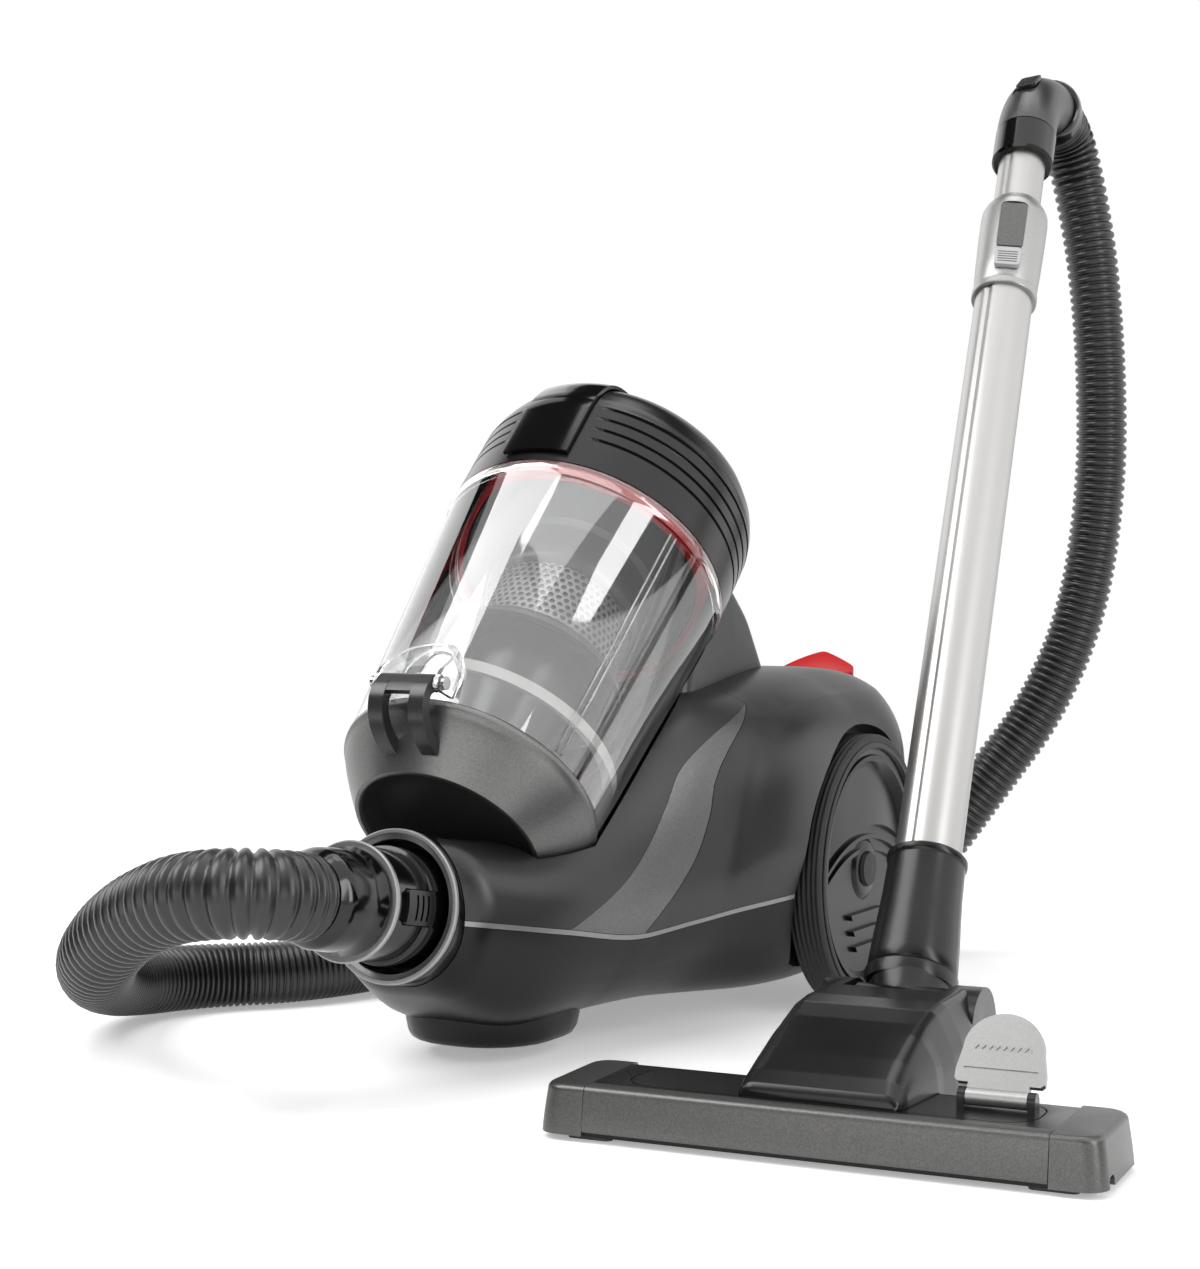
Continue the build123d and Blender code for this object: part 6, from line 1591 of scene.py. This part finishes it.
# %% Suction slider and hose swivel
slide_axis = next(j for j in frame["joints"] if j["name"] == "suction_slide")["axis"]
start = -4 * np.sign(np.dot(pad.x, slide_axis))
slide = prism("slide_valve", pad, rounded_box(20, 13.4, 3) + (start, 0), 0.35, 3.1)
notch_at = start + 3.2 * np.arange(-2, 3)
notches = [prism("notch", pad, rounded_box(1.3, 11, 0.5, 3) + (x, 0), 1.7, 5) for x in notch_at]
combine(slide, "DIFFERENCE", *notches)
finish_shading(slide, 30)
soften(slide, 0.5, 2, 40)
paint(slide, "satin_black")
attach(slide, "suction_slider")
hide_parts("suction_slider")
grip_end_place = Place(grip_end, bend_side, grip_axis)
swivel = revolve(
    "swivel_ring", grip_end_place,
    [(17.5, -8.7), (20.4, -8.7), (21.3, -7.8), (21.5, -6.4), (21.5, -2.4), (21.0, -1.2), (20.4, -0.6),
        (20.2, 0.8), (19.9, 2.4), (19.6, 7.0), (15, 7.0), (15, 0.3), (17.5, 0.3), (17.5, -8.7)],
    128, 30,
)
paint(swivel, "gloss_black")
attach(swivel, "handle")
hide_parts("hose_swivel")
print("handle pieces made")

# %% [markdown]
# The floor head lies along its own turned frame. Its bumper and end caps are one metallic band
# round the front, the top plate carries a shallow panel line, and the hump is a surface lofted
# from the deck to the pitch axle: a flat-topped wedge whose flanks lean in. The underside parts
# stay as packed.

# %% Floor head: bumper and end caps
HALF, DEPTH, BODY_HALF = 133.3, 67.7, 109
head_side = Place(head.o, head.y, head.x)


def head_prism(name, outline, low_x, high_x, smooth=30):
    """Outline of (rearwards, up) points carried along the head."""
    return prism(name, head_side, outline, low_x, high_x, smooth)


bumper_outline = [(0.3, 5.0), (0, 5.6), (0, 9), (0.9, 14.5), (2.1, 22), (2.6, 23.8), (3.6, 25.2),
    (5.2, 25.8), (12, 25.8), (12, 23.3), (6.6, 22.3), (4, 13), (4, 5)]
bumper = head_prism("front_bumper", np.array(bumper_outline), -BODY_HALF, BODY_HALF, 40)
paint(bumper, "metallic_light")
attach(bumper, "floor_head")
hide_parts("bumper")


def cap_end(name, side):
    """Rounded end: plan rectangle with round corners whose top edge draws in on a small arc."""
    centre = np.array((side * (HALF - 24), DEPTH / 2))
    plan = rounded_box(48, DEPTH, 11, 9) + centre
    u, a = np.linspace(0, 1, 9), np.linspace(0, np.pi / 2, 7)[1:]
    draw = np.r_[2.2 * u**1.3, 2.2 + 3.2 * (1 - np.cos(a))]
    level = np.r_[3.0 + 19.6 * u, 22.6 + 3.2 * np.sin(a)]
    scaled = centre + (plan - centre) * (1 - draw[:, None, None] / np.array((24.0, DEPTH / 2)))
    rings = np.concatenate([scaled, np.repeat(level[:, None, None], len(plan), 1)], -1)
    piece = tube_grid(name, head(rings), smooth=30)
    near, far = sorted((side * (HALF - 24), side * (HALF + 30)))
    combine(piece, "INTERSECT", prism("keep", head,
        np.array([(near, -20), (far, -20), (far, 100), (near, 100)]), -5, 60))
    inside = rounded_box(43, DEPTH - 6, 8, 6) + np.array((side * (HALF - 26.5), DEPTH / 2))
    combine(piece, "DIFFERENCE", prism("inside", head, inside, 0, 21))
    notch_box = [(10.5, -1), (19.5, -1), (19.5, 6.5), (17.5, 8), (12.5, 8), (10.5, 6.5)]
    span = (HALF - 8, HALF + 6) if side > 0 else (-HALF - 6, 8 - HALF)
    combine(piece, "DIFFERENCE", head_prism("notch", np.array(notch_box), *span))
    finish_shading(piece, 30)
    paint(piece, "metallic_light")
    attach(piece, "floor_head")
    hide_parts("end_cap_right" if side > 0 else "end_cap_left")
    return piece


cap_end("head_end_right", 1)
cap_end("head_end_left", -1)
print("bumper faces", len(bumper.data.polygons))

# %% Top plate with its panel line, air duct and pedal ears
deck_outline = np.array([(12.3, 21.8), (12.3, 24.8), (13, 25.3), (60, 25.3), (64.5, 24.2), (67.0, 21.5),
    (67.7, 18), (67.7, 13), (65.2, 13), (65.2, 20.5), (63, 21.8)])
deck = head_prism("top_deck", deck_outline, -BODY_HALF, BODY_HALF, 30)


def duct_tool():
    """Opening of the air duct through the deck and into the hump."""
    return prism("duct", head, np.array([(-20, 35), (20, 35), (20, 59), (-20, 59)]), 15, 40)


combine(deck, "DIFFERENCE", duct_tool())
line_tool = prism("line", head, rounded_box(196, 42, 17, 10) + (0, 38), 24.5, 30)
panel_inside = rounded_box(194.4, 40.4, 16.2, 10) + (0, 38)
combine(line_tool, "DIFFERENCE", prism("line_in", head, panel_inside, 20, 40))
combine(deck, "DIFFERENCE", line_tool)
for side in (-1, 1):
    ear_at = 76 + side * 14.3
    turn = np.linspace(0, np.pi, 12)[1:-1]
    ear_top = np.column_stack([42 + 4 * np.cos(turn), 29.8 + 4 * np.sin(turn)])
    ear = np.vstack([[(38, 22), (46, 22), (46, 29.8)], ear_top, [(38, 29.8)]])
    combine(deck, "UNION", head_prism("ear", ear, *sorted((ear_at, ear_at + side * 3.5))))
finish_shading(deck, 30)
paint(deck, "satin_black")
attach(deck, "floor_head")
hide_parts("top_plate")

print("deck faces", len(deck.data.polygons))


# %% Hump over the duct
def hump_form(name):
    """Loft of six-cornered sections along the head's depth, each corner turned on a small arc. A row
    of the table is (rearwards, half foot, half top, foot level, top level)."""
    table = np.array([
        (16.5, 36.5, 33.0, 24.8, 28.5), (18.5, 38.5, 33.5, 24.8, 32.0), (26.0, 40.0, 33.0, 24.8, 37.0),
        (40.0, 41.5, 33.0, 24.8, 43.5), (60.0, 43.5, 33.5, 24.8, 51.5), (69.0, 44.2, 34.0, 15.0, 54.5),
        (84.0, 45.5, 34.5, 14.2, 58.5), (98.0, 46.0, 34.5, 14.5, 60.0), (120.0, 44.5, 34.5, 15.2, 60.0),
        (146.0, 41.0, 34.0, 16.0, 60.0),
    ])
    fine = np.unique(np.r_[np.linspace(16.5, 146, 60), table[:, 0]])
    foot, top, low_level, high_level = (np.interp(fine, table[:, 0], table[:, k]) for k in range(1, 5))
    waist, waist_level = foot - (foot - top) * 0.12, low_level + (high_level - low_level) * 0.55
    across = np.stack([foot, waist, top, -top, -waist, -foot], 1)
    levels = np.stack([low_level, waist_level, high_level, high_level, waist_level, low_level], 1)
    corners = np.stack([across, levels], -1)
    outline = rounded_section(corners, np.array([1.5, 7, 4.5, 4.5, 7, 1.5], float), 6)
    points = np.stack([outline[..., 0], np.repeat(fine[:, None], outline.shape[1], 1), outline[..., 1]], -1)
    return tube_grid(name, head(points), smooth=30)


hump = hump_form("duct_hump")
pitch_axle = (146, 38)
combine(hump, "UNION", head_prism("cheek", circle(pitch_axle, 22, 72), -40.5, 40.5))
hollow = [(31, 28.3), (95, 56), (122, 56), (122, 21), (75.7, 20), (75.7, 28.3)]
seat = [(125.7, 38), (125.7, 65), (175, 65), (175, 5), (146, 5), (146, 38)]
combine(
    hump, "DIFFERENCE", head_prism("hollow", np.array(hollow), -31, 31), duct_tool(),
    head_prism("seat", np.array(seat), -25.8, 25.8),
    head_prism("barrel", circle(pitch_axle, 20.3, 72), -25.8, 25.8),
    revolve("bore", Place(head(np.array((0.0, 118, 38))) / MM, head.x, head.y),
        [(0, 0), (12, 0), (12, 12), (0, 12)], 48),
)
combine(hump, "DIFFERENCE", head_prism("pin", circle(pitch_axle, 4.05, 24), -48, 48))
finish_shading(hump, 40)
paint(hump, "satin_black")
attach(hump, "floor_head")
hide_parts("head_hump")
print("hump faces", len(hump.data.polygons))

# %% [markdown]
# The neck elbow is a barrel on the pitch axle and a throat that rises to the wand. The throat is
# a stack of rings that start square to the way up and turn square to the wand's own axis.

# %% Neck elbow
pivot = Place(head(np.array((0.0, 146, 38))) / MM, head.y, head.x)
elbow_top = wand.o + wand.z * -119.3
barrel_form = revolve("elbow_body", pivot, [(0, -25.5), (19, -25.5), (20, -24.5), (20, 24.5), (19, 25.5),
    (0, 25.5)], 96)
reach = elbow_top - pivot.o
ring_angles = np.linspace(0, 2 * np.pi, 96, endpoint=False)
unit_ring = np.stack([np.cos(ring_angles), np.sin(ring_angles), 0 * ring_angles], -1)


def throat_ring(u):
    """Ring of radius 18 + 4.2 u^1.4, at the share u of the way up to the wand."""
    axis = unit(unit(reach) * (1 - u) + wand.z * u)
    return Place(pivot.o + reach * (0.25 + 0.60 * u), wand.x, axis)(unit_ring * (18.0 + 4.2 * u**1.4))


top_place = Place(elbow_top, wand.x, wand.z)
lip = [(22.8, -8.6), (24.0, -8.0), (24.2, -5.0), (24.0, -1.0), (23.0, 0.0)]
lip_rings = [top_place(unit_ring * r + (0, 0, level)) for r, level in lip]
throat = tube_grid("throat", np.array([throat_ring(u) for u in np.linspace(0, 1, 20)] + lip_rings),
    smooth=30)
combine(barrel_form, "UNION", throat, revolve("collar", top_place,
    [(0, -1), (17.95, -1), (17.95, 20), (0, 20)], 96))
combine(barrel_form, "DIFFERENCE", revolve("way", top_place, [(0, -24), (15, -24), (15, 30), (0, 30)],
    96), revolve("way", pivot, [(0, -11), (15, -11), (15, 11), (0, 11)], 72),
        revolve("mouth", Place(pivot.o, head.x, -head.y), [(0, 0), (10, 0), (10, 25), (0, 25)], 48),
        revolve("pins", pivot, [(0, -46), (4, -46), (4, 46), (0, 46)], 48))
barrel_form.name = "neck_elbow_body"
finish_shading(barrel_form, 32)
paint(barrel_form, "satin_black")
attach(barrel_form, "neck")
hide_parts("neck_elbow")

print("elbow faces", len(barrel_form.data.polygons))

# %% [markdown]
# The foot pedal leans back on its pin. Its plate is half an ellipse over a short skirt, with a
# raised zigzag line that stands for the moulded mark of the brush.

# %% Foot pedal
pedal_level = 29.8
lean_p = math.radians(30)
pedal_z = -(head.y * math.cos(lean_p) - head.z * math.sin(lean_p))
pedal = Place(head(np.array((76.0, 42, pedal_level))) / MM, head.x, pedal_z)
half_turn = np.linspace(0, np.pi, 26)
plate_top = np.column_stack([18.5 * np.cos(half_turn), 22 + 17.0 * np.sin(half_turn)])
plate_foot = [(-20.5, 12), (-20.5, 7.5), (-19, 6), (19, 6), (20.5, 7.5), (20.5, 12)]
plate = prism("foot_plate", pedal, np.vstack([plate_top, plate_foot]), -2, 2, 30)
combine(plate, "UNION", prism("tongue", pedal, np.array([(-14, 0), (14, 0), (14, 14), (-14, 14)]), -2, 2))
combine(plate, "UNION", head_prism("rod", circle((42, pedal_level), 4, 40), 62, 90))
combine(plate, "DIFFERENCE", head_prism("hole", circle((42, pedal_level), 1.55, 20), 30, 120))
combine(plate, "DIFFERENCE", prism("slot_line", pedal, rounded_box(34, 1.1, 0.5, 3) + (0, 12.5), 1.4, 4))
finish_shading(plate, 30)
soften(plate, 0.6, 3, 50)
paint(plate, "silver_satin")
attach(plate, "foot_pedal")
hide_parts("foot_pedal")
teeth = np.arange(17)
zigzag = np.column_stack([-13 + 26 * teeth / 16, 22.0 + 2.0 * (teeth % 2)])
ridge_line = prism("zigzag", pedal, np.vstack([zigzag + (0, 0.45), (zigzag - (0, 0.45))[::-1]]), 1.7, 2.5,
    30)
paint(ridge_line, "silver_satin")
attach(ridge_line, "foot_pedal")
print("pedal faces", len(plate.data.polygons))

# %% [markdown]
# The pieces that stay as packed are mostly inside or underneath, and already have the right form.
# They only take their finish here.

# %% Finishes of the kept CAD pieces
kept = {
    "motor_can": "steel", "motor_fan": "metallic_light", "cord_reel": "soft_black",
    "stub_axles": "soft_black",
    "caster_fork": "base_black", "caster_pin": "steel", "caster_wheel": "tyre_rubber",
    "cup_catch": "red_plastic",
    "power_pedal": "red_plastic", "rewind_pedal": "red_plastic", "cyclone_cone": "cylinder_grey",
    "pleated_filter": "filter_paper", "door_pin": "steel", "pitch_pins": "steel", "pedal_pin": "steel",
    "head_sole": "soft_black", "glide_pads": "felt_grey", "brush_strip": "bristle",
    "roller_right": "soft_black", "roller_left": "soft_black",
}
for node, name in kept.items():
    paint(frame["nodes"][node], name)
print("kept", sorted(n for n, o in frame["nodes"].items() if not o.hide_render))
